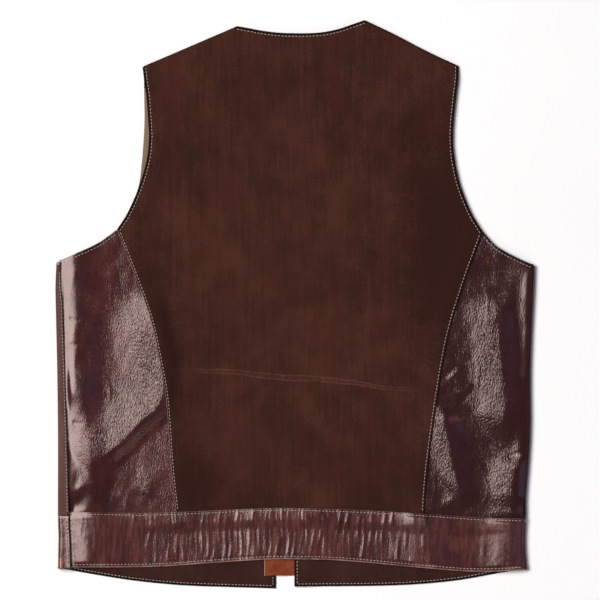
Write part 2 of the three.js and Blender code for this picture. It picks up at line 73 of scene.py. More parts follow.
# Laps: how far one piece reaches under the next, and where the upper one has come down
LAP = 9
LAP_END = 11
LAP_SLOPE_END = 25
BAND_LAP = 9
BAND_STEP = (-5, -1)
BAND_SETTLE = (11, 24)

# Air between the fronts and the back
AIR = 0.5
LEAST_AIR = 0.1
SIDE_LOFT = 3.1
BAND_LOFT = 1.0
LOFT_LEFT = (17, 75)
LOFT_RIGHT = (5, 70)
LOFT_DROP = (-226, -208)
SIDE_TUCK = 3
SIDE_TUCK_RANGE = (-239, -233.5)
SHOULDER_PRESS = 14

# The closing tab, what lies over it, and the lining at the left armhole
TAB_LEFT, TAB_RIGHT, TAB_BOTTOM, TAB_TOP = -33.9, 6, -298.9, -249
TAB_RAMP = (-19, -5)
TAB_BED = {"rise": 1.6, "x": -12, "y": -275, "half_width": 30, "half_height": 38, "fade": 28}
RIGHT_LIFT_ACROSS = (10, 36)
RIGHT_LIFT_ALONG = (-245, -212)
LINING_LOW, LINING_HIGH = 98, 238
LINING_FROM_EDGE, LINING_UNDER_BACK = 0.4, 9.5
FRONT_FOOT_SIDE, FRONT_FOOT_CENTRE = -232.6, -252.4

# Edges and seams, x and y
NECK = [
    (-64, 306.1), (-51.9, 303.9), (-38.7, 301.4), (-18.9, 298.9), (5.3, 298.2),
    (27.3, 299.1), (47.1, 302.8), (60.3, 307.2), (76.2, 312.7),
]
SHOULDER_LEFT = [(-168, 260.5), (-164.1, 263.2), (-137.7, 274.4), (-64, 306.1)]
SHOULDER_RIGHT = [(76.2, 312.7), (106.5, 298.4), (146.1, 277.9), (179.9, 262.1)]
ARMHOLE_LEFT = [
    (-196, 82.3), (-184.5, 100.4), (-172, 129), (-163.4, 158.7), (-160.9, 181.8),
    (-161.3, 196.1), (-163.5, 226.9), (-165.4, 240.6), (-168, 260.5),
]
ARMHOLE_RIGHT = [
    (206.6, 79.5), (193.4, 101.5), (181.3, 132.3), (174.7, 165.3),
    (173.9, 193.9), (177.4, 230.2), (179.4, 246.7), (179.9, 262.1),
]
UNDERARM_LEFT = [(-262, 46.5), (-243.3, 55), (-216.9, 67.4), (-196, 82.3), (-186, 87.5)]
UNDERARM_RIGHT = [
    (196, 85), (206.6, 79.5), (218.7, 66.3), (231.9, 57.5), (251.7, 47.6), (263.8, 42.8),
]
SEAM_LEFT = [
    (-130, -238.4), (-136.1, -183.4), (-142.1, -104.2), (-148.7, -64.6),
    (-156.6, -26.1), (-167.4, 8), (-196, 82.3),
]
SEAM_RIGHT = [
    (141.7, -238.4), (145.5, -183.4), (156, -105.3), (168.6, -34.9),
    (186.8, 25.6), (206.6, 79.5),
]
BAND_TOP = [
    (-260, -227.8), (-192.7, -229.3), (-159.7, -229.6), (-97, -227.2), (-27.7, -224.1),
    (5.3, -224.3), (68, -226.3), (142.8, -230.4), (203.3, -234.6), (258, -235.7),
]
BAND_BOTTOM = [
    (-260, -289.3), (-159.7, -288.9), (-97, -285), (-33.2, -280.8), (5.3, -280.5),
    (55.9, -282.4), (157.1, -291.6), (203.3, -294.2), (258, -292),
]
HEM_LEFT = [
    (-261.1, -290.1), (-223.5, -296.9), (-177.3, -304.1), (-124.5, -309.2),
    (-65.1, -311.4), (-21.1, -312.7),
]
HEM_RIGHT = [(-0.9, -310.6), (106.5, -309.4), (172.5, -304.5), (225.3, -295.6), (255.5, -291.5)]
FRONT_ARMHOLE_LEFT = [
    (-258, 46.2), (-243.3, 53.1), (-216.9, 65.8), (-194.9, 80.6), (-184.5, 98.8),
    (-172.8, 128), (-168.7, 156.5), (-166, 195.7), (-166, 223.6), (-166.8, 259.3),
]
FRONT_ARMHOLE_RIGHT = [
    (259.5, 42.5), (251, 46), (231, 55.8), (217.4, 64.6), (205.2, 78.2), (192, 100.5),
    (179.9, 131.5), (173.3, 165), (172.6, 194), (176, 230.5), (178.4, 261.2),
]
NECKLINE_LEFT = [(-21.1, 16), (-26, 60), (-45, 190), (-65.5, 304)]
NECKLINE_RIGHT = [(-0.9, 16), (8, 60), (45, 190), (77.6, 310.5)]

# The folded side edges: y, x, and on the left how far the front comes over the back
OUTLINE_LEFT = [
    (-290, -261.1, 15.1), (-274.7, -260.8, 14.4), (-253.8, -260.4, 12.9),
    (-232.9, -261, 12.4), (-160.3, -260.9, 10.5), (-104.2, -261.3, 9.2),
    (-53.6, -262.2, 8.5), (2.5, -263.5, 7.9), (21.2, -263.7, 6.5), (42.1, -262.8, 5.2),
]
OUTLINE_RIGHT = [
    (-291.2, 255.5), (-264.8, 253.4), (-235.1, 254.3), (-212, 254.4), (-171.3, 257.5),
    (-132.8, 259.4), (-77.8, 259.2), (-28.3, 260.8), (13.5, 262.9), (42.1, 263.9),
]

# Soft ridges and troughs of the whole back: x, y, direction in degrees, half length, half width, height
FOLDS = [
    (-184, -80, 72, 85, 20, 0.7), (-206, -150, 60, 45, 12, -0.45),
    (-190, 20, 40, 40, 18, 0.4), (214, -83, 95, 90, 17, 0.55),
    (180, -140, 100, 60, 12, -0.45), (225, 10, 60, 35, 12, -0.4),
    (-60, 190, 80, 90, 34, 0.35), (60, 120, 100, 110, 40, -0.3),
    (-80, -10, 20, 90, 34, 0.35), (90, -30, 160, 80, 36, 0.4),
    (-70, -150, 95, 70, 30, -0.3), (40, -160, 85, 60, 28, 0.35),
]

# Ridges and troughs that every layer of the back follows: height, width on the left and on the right of
# the line as it runs, how round the crest is, and the line's points
BACK_CREASES = [
    (2.3, 12, 26, 5.5, [(-244, -122), (-240.5, -84), (-239.5, -30), (-240, 12), (-241.5, 44), (-243, 84)]),
    (2.6, 17, 15, 4.5, [(-231, -248), (-226, -222), (-222, -196), (-226, -160), (-233, -108), (-238, -64)]),
    (5.8, 38, 14, 2.5, [
        (-236, -184), (-217, -171), (-206, -164), (-191, -152), (-178, -138), (-163, -124), (-150, -112),
        (-144, -92), (-144, -66), (-149, -36), (-155, -10), (-164, 22),
    ]),
    (-1.5, 9, 10, 3.0, [(-268, -232), (-256, -226), (-244, -219), (-230, -212), (-214, -208), (-190, -204)]),
    (-0.8, 20, 16, 4.0, [(-205, -100), (-212, -60), (-208, 0)]),
    (0.8, 16, 14, 4.0, [(-168, -212), (-160, -196), (-152, -178)]),
    (2.8, 28, 16, 6.5, [(226, -152), (230, -112), (228, -70), (223, -22), (219, 16)]),
    (3.1, 17, 27, 3.0, [(182, -226), (181, -208), (176, -186), (170, -156), (164, -126), (162, -104)]),
    (-1.8, 15, 12, 3.5, [(156, -96), (174, -112), (196, -134), (226, -158), (252, -166)]),
    (-1.4, 9, 8, 3.0, [(140, -186), (150, -194), (160, -204), (172, -216)]),
    (2.5, 23, 14, 4.0, [(237, -262), (238, -232), (239, -206), (242, -184), (247, -164)]),
    (-1.6, 36, 12, 4.0, [(243, -110), (245, -40), (246, 20), (248, 70)]),
    (0.75, 8, 8, 1.5, [(249, -200), (251, -150), (253, -100), (254, -40), (255, 34), (256, 60)]),
    (0.9, 13, 11, 3.0, [(168, -76), (180, -88), (192, -98)]),
    (-0.6, 14, 14, 4.0, [(200, 20), (216, 40), (240, 36)]),
]

# Small creases of the side backs, in the same columns
SIDE_CREASES_LEFT = [
    (-0.35, 1.4, 2.2, [(-176, -68), (-166, -70), (-158, -77), (-152, -88)]),
    (-0.30, 1.4, 2.0, [(-180, -92), (-170, -104), (-160, -114), (-154, -124)]),
    (-0.25, 1.2, 1.8, [(-172, -96), (-163, -106), (-157, -116)]),
    (-0.25, 1.6, 2.4, [(-250, -14), (-242, -17), (-235, -16)]),
    (-0.22, 1.5, 2.2, [(-249, -42), (-241, -44), (-233, -42)]),
    (-0.25, 1.6, 2.2, [(-246, -128), (-238, -131), (-229, -129)]),
    (-0.18, 1.6, 2.2, [(-248, -72), (-240, -76), (-232, -88)]),
    (0.12, 2.2, 2.2, [(-203, -225), (-199, -205), (-190, -188)]),
    (0.11, 2.0, 2.2, [(-186, -226), (-184, -210), (-176, -196)]),
    (0.08, 1.8, 2.0, [(-166, -224), (-168, -206), (-160, -192)]),
    (0.1, 2.0, 2.6, [(-222, 30), (-216, 8), (-214, -20)]),
    (0.08, 2.0, 2.6, [(-206, 44), (-202, 20), (-204, -6)]),
    (0.2, 2.2, 2.2, [(-214, -70), (-204, -92), (-208, -120)]),
    (-0.05, 1.6, 2.0, [(-205, 62), (-196, 40), (-190, 12)]),
]
SIDE_CREASES_RIGHT = [
    (-0.45, 1.8, 3.0, [(224, -176), (238, -166), (250, -163), (256, -164)]),
    (-0.30, 1.4, 2.2, [(232, -110), (243, -112), (252, -110)]),
    (-0.12, 1.6, 2.4, [(164, -78), (176, -70), (188, -76)]),
    (0.35, 2.2, 2.6, [(166, -92), (176, -98), (186, -96)]),
    (-0.3, 1.6, 2.2, [(168, -104), (180, -108), (190, -104)]),
    (-0.28, 1.6, 2.4, [(186, -150), (204, -152), (222, -160)]),
    (0.22, 2.0, 2.2, [(150, -222), (154, -200), (152, -178)]),
    (0.22, 2.0, 2.4, [(160, -226), (168, -206), (170, -186)]),
    (-0.22, 1.6, 2.2, [(178, -226), (186, -206), (184, -186)]),
    (0.2, 2.0, 2.4, [(206, -222), (212, -206), (208, -190)]),
    (0.18, 2.0, 2.6, [(188, 20), (196, 0), (194, -24)]),
    (0.2, 2.0, 2.4, [(206, 30), (212, 6), (210, -30)]),
    (-0.2, 1.6, 2.2, [(222, -20), (220, -50), (214, -78)]),
    (0.2, 2.0, 2.2, [(196, -50), (202, -72), (198, -96)]),
]

# Creases across the back waistband: x, how far its top leans to the right, where it starts and ends below
# the top edge, its height and its width
BAND_CREASES = [
    (-246, 1, 4, 50, 0.10, 3.0), (-236, 2, 0, 30, 0.12, 2.4), (-222, 3, 6, 54, 0.14, 2.2),
    (-211, 2, 20, 58, 0.12, 2.0), (-203, 4, 0, 40, 0.16, 2.0), (-192, 2, 8, 58, 0.15, 1.8),
    (-181, 3, 0, 34, 0.17, 1.8), (-173, 1, 18, 58, 0.14, 2.2), (-163, 4, 0, 44, 0.18, 1.8),
    (-154, 2, 0, 58, 0.15, 1.6), (-146, 5, 4, 40, 0.2, 1.8), (-139, 2, 22, 58, 0.17, 1.6),
    (-131, 4, 0, 50, 0.2, 1.7), (-124, 2, 8, 58, 0.18, 1.5), (-117, 6, 0, 38, 0.22, 1.7),
    (-110, 3, 14, 58, 0.2, 1.5), (-104, 4, 0, 46, 0.24, 1.6), (-97, 3, 0, 58, 0.2, 1.5),
    (-91, 6, 10, 58, 0.24, 1.5), (-85, 3, 0, 36, 0.24, 1.4), (-79, 5, 0, 58, 0.26, 1.6),
    (-72, 2, 16, 58, 0.24, 1.5), (-66, 4, 0, 48, 0.28, 1.6), (-60, 2, 0, 58, 0.24, 1.5),
    (-53, 5, 6, 42, 0.28, 1.6), (-47, 2, 0, 58, 0.28, 1.5), (-41, 3, 20, 58, 0.22, 1.4),
    (-35, 5, 0, 46, 0.3, 1.7), (-28, 2, 0, 58, 0.26, 1.5), (-21, 4, 8, 58, 0.28, 1.6),
    (-15, 2, 0, 32, 0.26, 1.5), (-9, 4, 0, 58, 0.3, 1.7), (-2, 3, 14, 58, 0.26, 1.5),
    (5, 5, 0, 44, 0.3, 1.7), (11, 2, 0, 58, 0.28, 1.6), (18, 4, 18, 58, 0.26, 1.5),
    (25, 6, 0, 40, 0.32, 1.8), (32, 3, 0, 58, 0.3, 1.7), (38, 6, 10, 58, 0.3, 1.6),
    (45, 4, 0, 36, 0.34, 1.9), (52, 6, 0, 58, 0.32, 1.8), (59, 3, 24, 58, 0.3, 1.7),
    (66, 7, 0, 34, 0.36, 2.0), (73, 4, 6, 58, 0.34, 1.9), (81, 3, 0, 44, 0.34, 2.1),
    (89, 5, 20, 58, 0.3, 2.0), (96, 2, 0, 38, 0.36, 2.1), (104, 4, 0, 58, 0.3, 2.3),
    (113, 2, 14, 58, 0.26, 2.2), (121, 4, 0, 36, 0.3, 2.2), (130, 2, 0, 58, 0.26, 2.6),
    (140, 5, 0, 40, 0.3, 2.8), (150, 3, 10, 58, 0.22, 3.0), (161, 4, 0, 30, 0.22, 3.0),
    (173, 1, 18, 58, 0.18, 3.6), (188, 3, 4, 50, 0.14, 4.0), (206, 1, 0, 58, 0.1, 4.0),
]

# Broad rises and falls along the back waistband: x of the crest, height, width to its left and its right
BAND_WAVES = [
    (-227, 2.0, 14, 18), (-208, 2.5, 25, 26), (-120, -0.3, 20, 20),
    (44, 0.5, 26, 14), (144, 3.5, 30, 24), (236, 3.7, 25, 15),
]

# The healed scar across the centre back, and how far its two edges stand from its middle along it
SCAR = [
    (-140, -73.4), (-96, -73.6), (-74, -74.2), (-50.8, -76.2), (-26.6, -79.4), (5, -81.6),
    (24, -82), (66, -86.4), (102, -92.4), (125, -93.4), (149, -97.6),
]
SCAR_SPREAD = [(0, 1.3), (0.25, 2.4), (0.5, 2.9), (0.75, 2.0), (1, 1.0)]

# Small relief of the upper faces: height, width, and how far from an edge a seam pinches the leather
SCAR_RIDGE = (0.3, 0.9)
SCAR_VALLEY = (-0.15, 1.1)
CENTRE_PINCH = (-0.25, 1.4, 2.8)
BAND_TOP_PINCH = (-0.22, 1.1, 2.3)
BAND_BOTTOM_PINCH = (-0.22, 1.2, 3.2)

# How much of the waistband's relief is left at its edges
BAND_EDGE_RELIEF = 0.35

# Rows of the back's creases whose left flanks are stretched
LEFT_CREST = 2
RIGHT_CRESTS = (6, 7, 10)

# How far each row of stitches lies from its edge, and a distance that stands for no edge nearby
EDGE_STITCH = 3.4
SEAM_STITCH = 2.4
BAND_TOP_STITCH = 2.3
BAND_BOTTOM_STITCH = 3.2
STRIP_STITCH = 1.6
HEM_STITCH = 2.8
END_STITCH = 3.0
FAR = 99.0

# Faces of the strip and of the waistband's own strip, where they are sewn
STRIP_TOP = 2 * FOLD_RADIUS + 0.1
BAND_STRIP_TOP = 2 * FOLD_RADIUS + 0.6

# Knots at the waistband's left end: x, y and direction in degrees
KNOTS = [
    (-246.6, -237.6, 20), (-247.2, -240.4, 75), (-246.4, -243.6, 130), (-247.6, -246.2, 40),
    (-246.2, -248.6, 95),
]

# Ends of thread at the right and at the left: middle, direction, length, width and height
LOOSE_ENDS = [
    ((253.6, -236.9, 4.6), (1, -0.05, 0.1), 5.0, 1.0, 0.9),
    ((255.2, -238.6, 3.9), (0.9, -0.7, 0), 3.4, 0.9, 0.8),
    ((254.2, -290.6, 4.0), (1, 0.1, 0), 5.2, 1.0, 0.9),
    ((255.4, -289.2, 3.6), (0.6, 0.9, 0), 3.2, 0.9, 0.8),
    ((252.4, -238.4, 5.6), (1, -0.4, -0.3), 4.0, 0.9, 0.8),
]
FRAYED_ENDS = [
    ((-259.6, -290.4, 3.6), (0.5, -1, 0.2), 3.4, 0.8, 0.7),
    ((-257.2, -290.8, 4.2), (-0.3, -1, 0), 3.0, 0.7, 0.6),
    ((-261.4, -289.2, 5.0), (1, -0.3, 0.3), 3.6, 0.8, 0.7),
    ((-250.4, -287.2, 8.7), (1, 0.5, 0), 3.4, 0.8, 0.7),
    ((-250.6, -285.6, 8.7), (0.2, 1, 0), 3.2, 0.8, 0.7),
]

# Steps that lines are followed in, and places along the sides where the strip's edge is read
READ_STEPS = 96
RIDGE_STEPS = 24
CREASE_STEPS = 18
LINE_STEPS = 40
ARM_STEPS = 30
EDGE_STEPS = 60
BAND_STEPS = 90
SEAM_STEPS = 600
SEWN_STEPS = 240
OUTLINE_Y = np.linspace(-290, 46, 120)

# Rows and columns of the pieces, and distances of the first columns from their edges
CENTRE_ROWS = (132, 76)
CENTRE_COLUMNS = (32, 52, 32)
CENTRE_EDGE = [0, 1.4, 2.8, 4.4, 6.2, 8.4, 11, 14, 17.5, 21, LAP_SLOPE_END]
SIDE_ROWS = 186
SIDE_COLUMNS = (92, 80)
BAND_GRID = (521, 32)
FRONT_ROWS = (92, 60)
FRONT_COLUMNS = (30, 26)
FRONT_EDGE = [0, 1, 2.4, 4, 8]
FRONT_CENTRE_EDGE = [12, 18, 24, 30, 37]
LINING_GRID = (13, 71)
TAB_GRID = (49, 61)
STRIP_SHARES = (1, 0.8, 0.6, 0.4, 0.2)
FOLD_COLUMNS = 12
ROLL_COLUMNS = 9
# Columns inside the right fold that are painted dark: painted shade with the edge's paint
PAINTED_SHADE_COLUMNS = 4

# Flat sizes that aren't read from the pieces: heights, whole cuts, and widths of what comes over the back
BAND_CUT = 64.5
FRONT_BAND_CUT = 76
BAND_FOLD_CUT = 55
LINING_CUT = (13.5, 141)
TAB_CUT = (40, 50)
STRIP_CUT = 5
BAND_STRIP_CUT = 15

# The picture: 600 pixels a side, each 1.1 mm, centred here, and how far up its scale holds
VIEW_MIDDLE = (5.3, 4.7)
VIEW_WIDTH = 660
VIEW_LEVEL = 4

# The camera's sensor in millimetres, and in metres how far it sees, the floor's size and its drop
SENSOR = 36
VIEW_END = 20
FLOOR_SIZE = 4.0
FLOOR_DROP = 0.0003


def rise(value, low, high):
    """A share that goes smoothly from 0 at low to 1 at high."""
    share = np.clip((value - low) / (high - low), 0, 1)
    return share * share * (3 - 2 * share)


def mix(first, second, share):
    return first + (second - first) * share


def smooth_line(points, steps):
    """Points at even steps on a smooth curve through the given ones."""
    knots = np.array(points, float)
    last = len(knots) - 1
    place = np.linspace(0, last, last * 40 + 1)
    k = np.minimum(place.astype(int), last - 1)
    share = (place - k)[:, None]
    before, start, end, after = (knots[np.clip(k + step, 0, last)] for step in (-1, 0, 1, 2))
    out_slope, in_slope = (end - before) / 2, (after - start) / 2
    cubic = 2 * start - 2 * end + out_slope + in_slope
    square = -3 * start + 3 * end - 2 * out_slope - in_slope
    curve = ((cubic * share + square) * share + out_slope) * share + start
    length = np.concatenate([[0], np.cumsum(np.hypot(*np.diff(curve, axis=0).T))])
    at = np.linspace(0, length[-1], steps + 1)
    return np.stack([np.interp(at, length, column) for column in curve.T], axis=1)


def reader(line, key=0, value=1):
    """Reads one column of a line's points at a value of the other."""
    line = np.asarray(line)
    order = np.argsort(line[:, key], kind="stable")
    keys, values = line[order, key], line[order, value]
    return lambda at: np.interp(at, keys, values)


def nearest(line, x, y):
    """Distance to a line, the side of it (1 on its left) and the share of its length, at each place."""
    x, y = np.asarray(x, float), np.asarray(y, float)
    best = np.full(x.shape, np.inf)
    side, share = np.zeros(x.shape), np.zeros(x.shape)
    steps = len(line) - 1
    for k in range(steps):
        (ax, ay), (bx, by) = line[k], line[k + 1]
        dx, dy = bx - ax, by - ay
        along = np.clip(((x - ax) * dx + (y - ay) * dy) / (dx * dx + dy * dy), 0, 1)
        gap_x, gap_y = x - ax - along * dx, y - ay - along * dy
        distance = np.hypot(gap_x, gap_y)
        closer = distance < best
        best = np.where(closer, distance, best)
        side = np.where(closer, dx * gap_y - dy * gap_x, side)
        share = np.where(closer, (k + along) / steps, share)
    return best, np.sign(side), share


def beside(line, distance):
    """The line moved sideways, to its left where distance is positive."""
    step = np.gradient(line, axis=0)
    step /= np.hypot(*step.T)[:, None]
    return line + distance * np.stack([-step[:, 1], step[:, 0]], axis=1)


def ridge_relief(x, y, ridges):
    """Height of ridges and troughs with even flanks that run out softly."""
    total = np.zeros(np.shape(x))
    for height, left, right, crest, points in ridges:
        distance, side, share = nearest(smooth_line(points, RIDGE_STEPS), x, y)
        away = (np.sqrt(distance**2 + crest**2) - crest) / np.where(side > 0, left, right)
        across = np.where(away < 0.7, 1 - away, np.clip(1.3 - away, 0, 1) ** 2 / 1.2)
        total += height * across * rise(share, 0, 0.2) * (1 - rise(share, 0.8, 1))
    return total


def flank_share(x, y, ridges):
    """1 on the left flanks of these ridges, where the hide is stretched and its grain stands out; these
    flanks face the key light, and the grain's painted highlight and crack shade are strongest there.
    """
    share = np.zeros(np.shape(x))
    for height, left, right, crest, points in ridges:
        distance, side, along = nearest(smooth_line(points, RIDGE_STEPS), x, y)
        flank = np.exp(-(((distance / left - 0.45) / 0.6) ** 2)) * (side > 0)
        share = np.maximum(share, flank * rise(along, 0, 0.15) * (1 - rise(along, 0.85, 1)))
    return share


def crease_relief(x, y, creases):
    """Height of soft ridges and troughs that follow short lines and fade at their ends."""
    total = np.zeros(np.shape(x))
    for height, left, right, points in creases:
        distance, side, share = nearest(smooth_line(points, CREASE_STEPS), x, y)
        across = np.exp(-((distance / np.where(side > 0, left, right)) ** 2))
        total += height * across * rise(share, 0, 0.22) * (1 - rise(share, 0.78, 1))
    return total


def joined(*runs):
    """One line through smooth curves that follow each other, each given as its points and its steps."""
    curves = [smooth_line(points, steps) for points, steps in runs]
    return np.concatenate([curves[0], *(curve[1:] for curve in curves[1:])])


def line_reader(points, key=0, value=1):
    return reader(smooth_line(points, READ_STEPS), key, value)


shoulders = joined((SHOULDER_LEFT, READ_STEPS), (NECK, READ_STEPS), (SHOULDER_RIGHT, READ_STEPS))
side_lines = (
    joined((SEAM_LEFT, LINE_STEPS), (ARMHOLE_LEFT, ARM_STEPS)),
    joined((SEAM_RIGHT, LINE_STEPS), (ARMHOLE_RIGHT, ARM_STEPS)),
)
back_top_at = reader(shoulders)
band_top_at, band_bottom_at = line_reader(BAND_TOP), line_reader(BAND_BOTTOM)
underarm_left_at, underarm_right_at = line_reader(UNDERARM_LEFT), line_reader(UNDERARM_RIGHT)
hem_left_at, hem_right_at = line_reader(HEM_LEFT), line_reader(HEM_RIGHT)
seam_left_at, seam_right_at = line_reader(SEAM_LEFT, 1, 0), line_reader(SEAM_RIGHT, 1, 0)
outline_left_at = line_reader([row[:2] for row in OUTLINE_LEFT])
outline_right_at = line_reader(OUTLINE_RIGHT)
strip_at = reader([(row[0], row[2]) for row in OUTLINE_LEFT])


def back_foot_at(x):
    """The back's hidden lower edge, under the waistband."""
    return band_top_at(x) - BAND_LAP


def from_sides(x, y):
    """Distance to the nearer side edge of the centre back."""
    return np.minimum(*(nearest(line, x, y)[0] for line in side_lines))


def dent(distance, height, width, at=0):
    """A soft ridge, or a trough where the height is negative, at this distance from a line."""
    return height * np.exp(-(((distance - at) / width) ** 2))


def past_strip(x, y):
    """0 under the strip on the back and 1 clear of it."""
    return rise(x - outline_left_at(y), strip_at(y), strip_at(y) + 6)


def fold_left(y):
    return outline_left_at(y) + FOLD_RADIUS


def fold_right(y):
    return outline_right_at(y) - FOLD_RADIUS


def near_fold(x, y):
    """1 beside a side fold and 0 far from both."""
    left = 1 - rise(x - outline_left_at(y), *LOFT_LEFT)
    right = 1 - rise(outline_right_at(y) - x, *LOFT_RIGHT)
    return np.maximum(left, right)


def fold_height(x, y):
    total = 0
    for at_x, at_y, turn, long, wide, height in FOLDS:
        cos, sin = math.cos(math.radians(turn)), math.sin(math.radians(turn))
        along = ((x - at_x) * cos + (y - at_y) * sin) / long
        across = ((y - at_y) * cos - (x - at_x) * sin) / wide
        total = total + height * np.exp(-along * along - across * across)
    return total


def tab_share(x, y):
    across = 1 - rise(abs(x - TAB_BED["x"]), TAB_BED["half_width"], TAB_BED["half_width"] + TAB_BED["fade"])
    along = 1 - rise(abs(y - TAB_BED["y"]), TAB_BED["half_height"], TAB_BED["half_height"] + TAB_BED["fade"])
    return across * along


LOWEST_BED = FRONT + GAP + 0.04


def bed(x, y):
    """The underside of the lowest back layer."""
    near = near_fold(x, y)
    loft = mix(BAND_LOFT, SIDE_LOFT, rise(y, *LOFT_DROP))
    tab = tab_share(x, y)
    soft = np.maximum(fold_height(x, y) * (1 - near), LEAST_AIR - AIR)
    level = FRONT + GAP + AIR + loft * near + soft * (1 - tab) + TAB_BED["rise"] * tab
    clear = past_strip(x, y) * rise(outline_right_at(y) - x, 1, 9) * rise(y, -240, -228)
    return np.maximum(level + ridge_relief(x, y, BACK_CREASES) * clear, LOWEST_BED)


def lap_lift(distance, height):
    """The lift of an upper piece over the hidden edge of the one below."""
    return height * (1 - rise(distance, LAP_END, LAP_SLOPE_END))


def shoulder_press(x, y):
    """How far a place is pressed down by the shoulder seams."""
    in_neck = np.minimum(x - NECK[0][0], NECK[-1][0] - x)
    below = 1 - rise(back_top_at(x) - y, 0, SHOULDER_PRESS)
    return below * (1 - rise(in_neck, 0, SHOULDER_PRESS))


def centre_underside(x, y):
    free = bed(x, y) + lap_lift(from_sides(x, y), SIDE + GAP)
    return mix(free, FRONT + GAP, shoulder_press(x, y))


def band_underside(x, y):
    """Over the pieces that the waistband laps, then down towards the fronts."""
    top = band_top_at(x)
    from_seam = np.minimum(x - seam_left_at(y), seam_right_at(y) - x)
    over_centre = BACK + GAP + lap_lift(from_seam, SIDE + GAP)
    layers = mix(SIDE + GAP, over_centre, rise(from_seam, *BAND_STEP)) + GAP / 2
    share = np.maximum(1 - rise(top - y, *BAND_SETTLE), near_fold(x, y))
    return bed(x, y) + mix(GAP, layers, share)


def scar_place(x, y):
    """How far a place is from the scar's middle, with its side, and how strong and wide the scar is there."""
    distance, side, share = nearest(smooth_line(SCAR, LINE_STEPS), x, y)
    strength = rise(share, 0.0, 0.22) * (1 - rise(share, 0.8, 1))
    spread = np.interp(share, *zip(*SCAR_SPREAD))
    return distance * side, strength, spread


def centre_top(x, y):
    """The upper face of the centre back: its form, the scar's two ridges and the pinched seams."""
    from_scar, strength, spread = scar_place(x, y)
    healed = (dent(abs(from_scar), *SCAR_RIDGE, spread) + dent(from_scar, *SCAR_VALLEY)) * strength
    pinch = dent(from_sides(x, y), *CENTRE_PINCH)
    slow = 0.12 * np.sin(x / 17 + np.sin(y / 41)) * np.sin(y / 23 + np.sin(x / 37) * 1.3)
    return centre_underside(x, y) + BACK + healed + pinch + slow


def side_top(x, y, creases):
    """The upper face of a side back."""
    seam = np.minimum(abs(x - seam_left_at(y)), abs(x - seam_right_at(y)))
    free = rise(seam, 0.5, 4) * rise(y - band_top_at(x), 0.5, 4) * rise(x - outline_left_at(y), 11, 17)
    free = free * rise(outline_right_at(y) - x, 2, 7)
    small = 0.10 * np.sin(x / 3.1 + 1.4 * np.sin(y / 13)) * np.sin(y / 7.9 + 1.1 * np.sin(x / 11))
    return bed(x, y) + SIDE + (crease_relief(x, y, creases) + small) * free


def band_creases(x, depth):
    """The gathered creases of the waistband, by the distance below its top edge."""
    total = np.zeros(np.shape(x))
    for at_x, lean, start, end, height, width in BAND_CREASES:
        line = at_x + lean * (1 - depth / 58) + 1.2 * np.sin(depth / 9 + at_x)
        ends = rise(depth, start - 6, start + 6) * (1 - rise(depth, end - 9, end + 6))
        swell = 0.75 + 0.45 * np.sin(depth / 11 + at_x * 1.7)
        total += 1.5 * height * ends * swell * np.exp(-(((x - line) / width) ** 2))
    return total


def band_top_face(x, y):
    depth = band_top_at(x) - y
    height = y - band_bottom_at(x)
    waves = sum(
        rise_by * np.exp(-((((x - at) / np.where(x < at, left, right))) ** 2))
        for at, rise_by, left, right in BAND_WAVES
    )
    free = past_strip(x, y) * rise(outline_right_at(y) - x, 1, 6)
    open_part = mix(BAND_EDGE_RELIEF, 1, rise(depth, 0, 6) * rise(height, 0, 6))
    pinch = dent(depth, *BAND_TOP_PINCH) + dent(height, *BAND_BOTTOM_PINCH)
    relief = (waves + band_creases(x, depth)) * open_part
    return band_underside(x, y) + BAND + (relief + pinch) * free


def right_lift(x, y):
    """How far the right front stands over the closing tab."""
    across = 1 - rise(x, *RIGHT_LIFT_ACROSS)
    return (TAB + GAP) * across * (1 - rise(y, *RIGHT_LIFT_ALONG))


class Number:
    """A socket that gives a number, so that sums of sockets are written as sums."""

    def __init__(self, paint, socket):
        self.paint = paint
        self.socket = socket

    def _math(self, operation, first, second=0.0):
        return self.paint.number("ShaderNodeMath", {"operation": operation}, {0: first, 1: second})

    def __add__(self, other):
        return self._math("ADD", self, other)

    def __sub__(self, other):
        return self._math("SUBTRACT", self, other)

    def __rsub__(self, other):
        return self._math("SUBTRACT", other, self)

    def __mul__(self, other):
        return self._math("MULTIPLY", self, other)

    def __abs__(self):
        return self._math("ABSOLUTE", self)

    def at_least(self, other):
        return self._math("MAXIMUM", self, other)

    __radd__ = __add__
    __rmul__ = __mul__


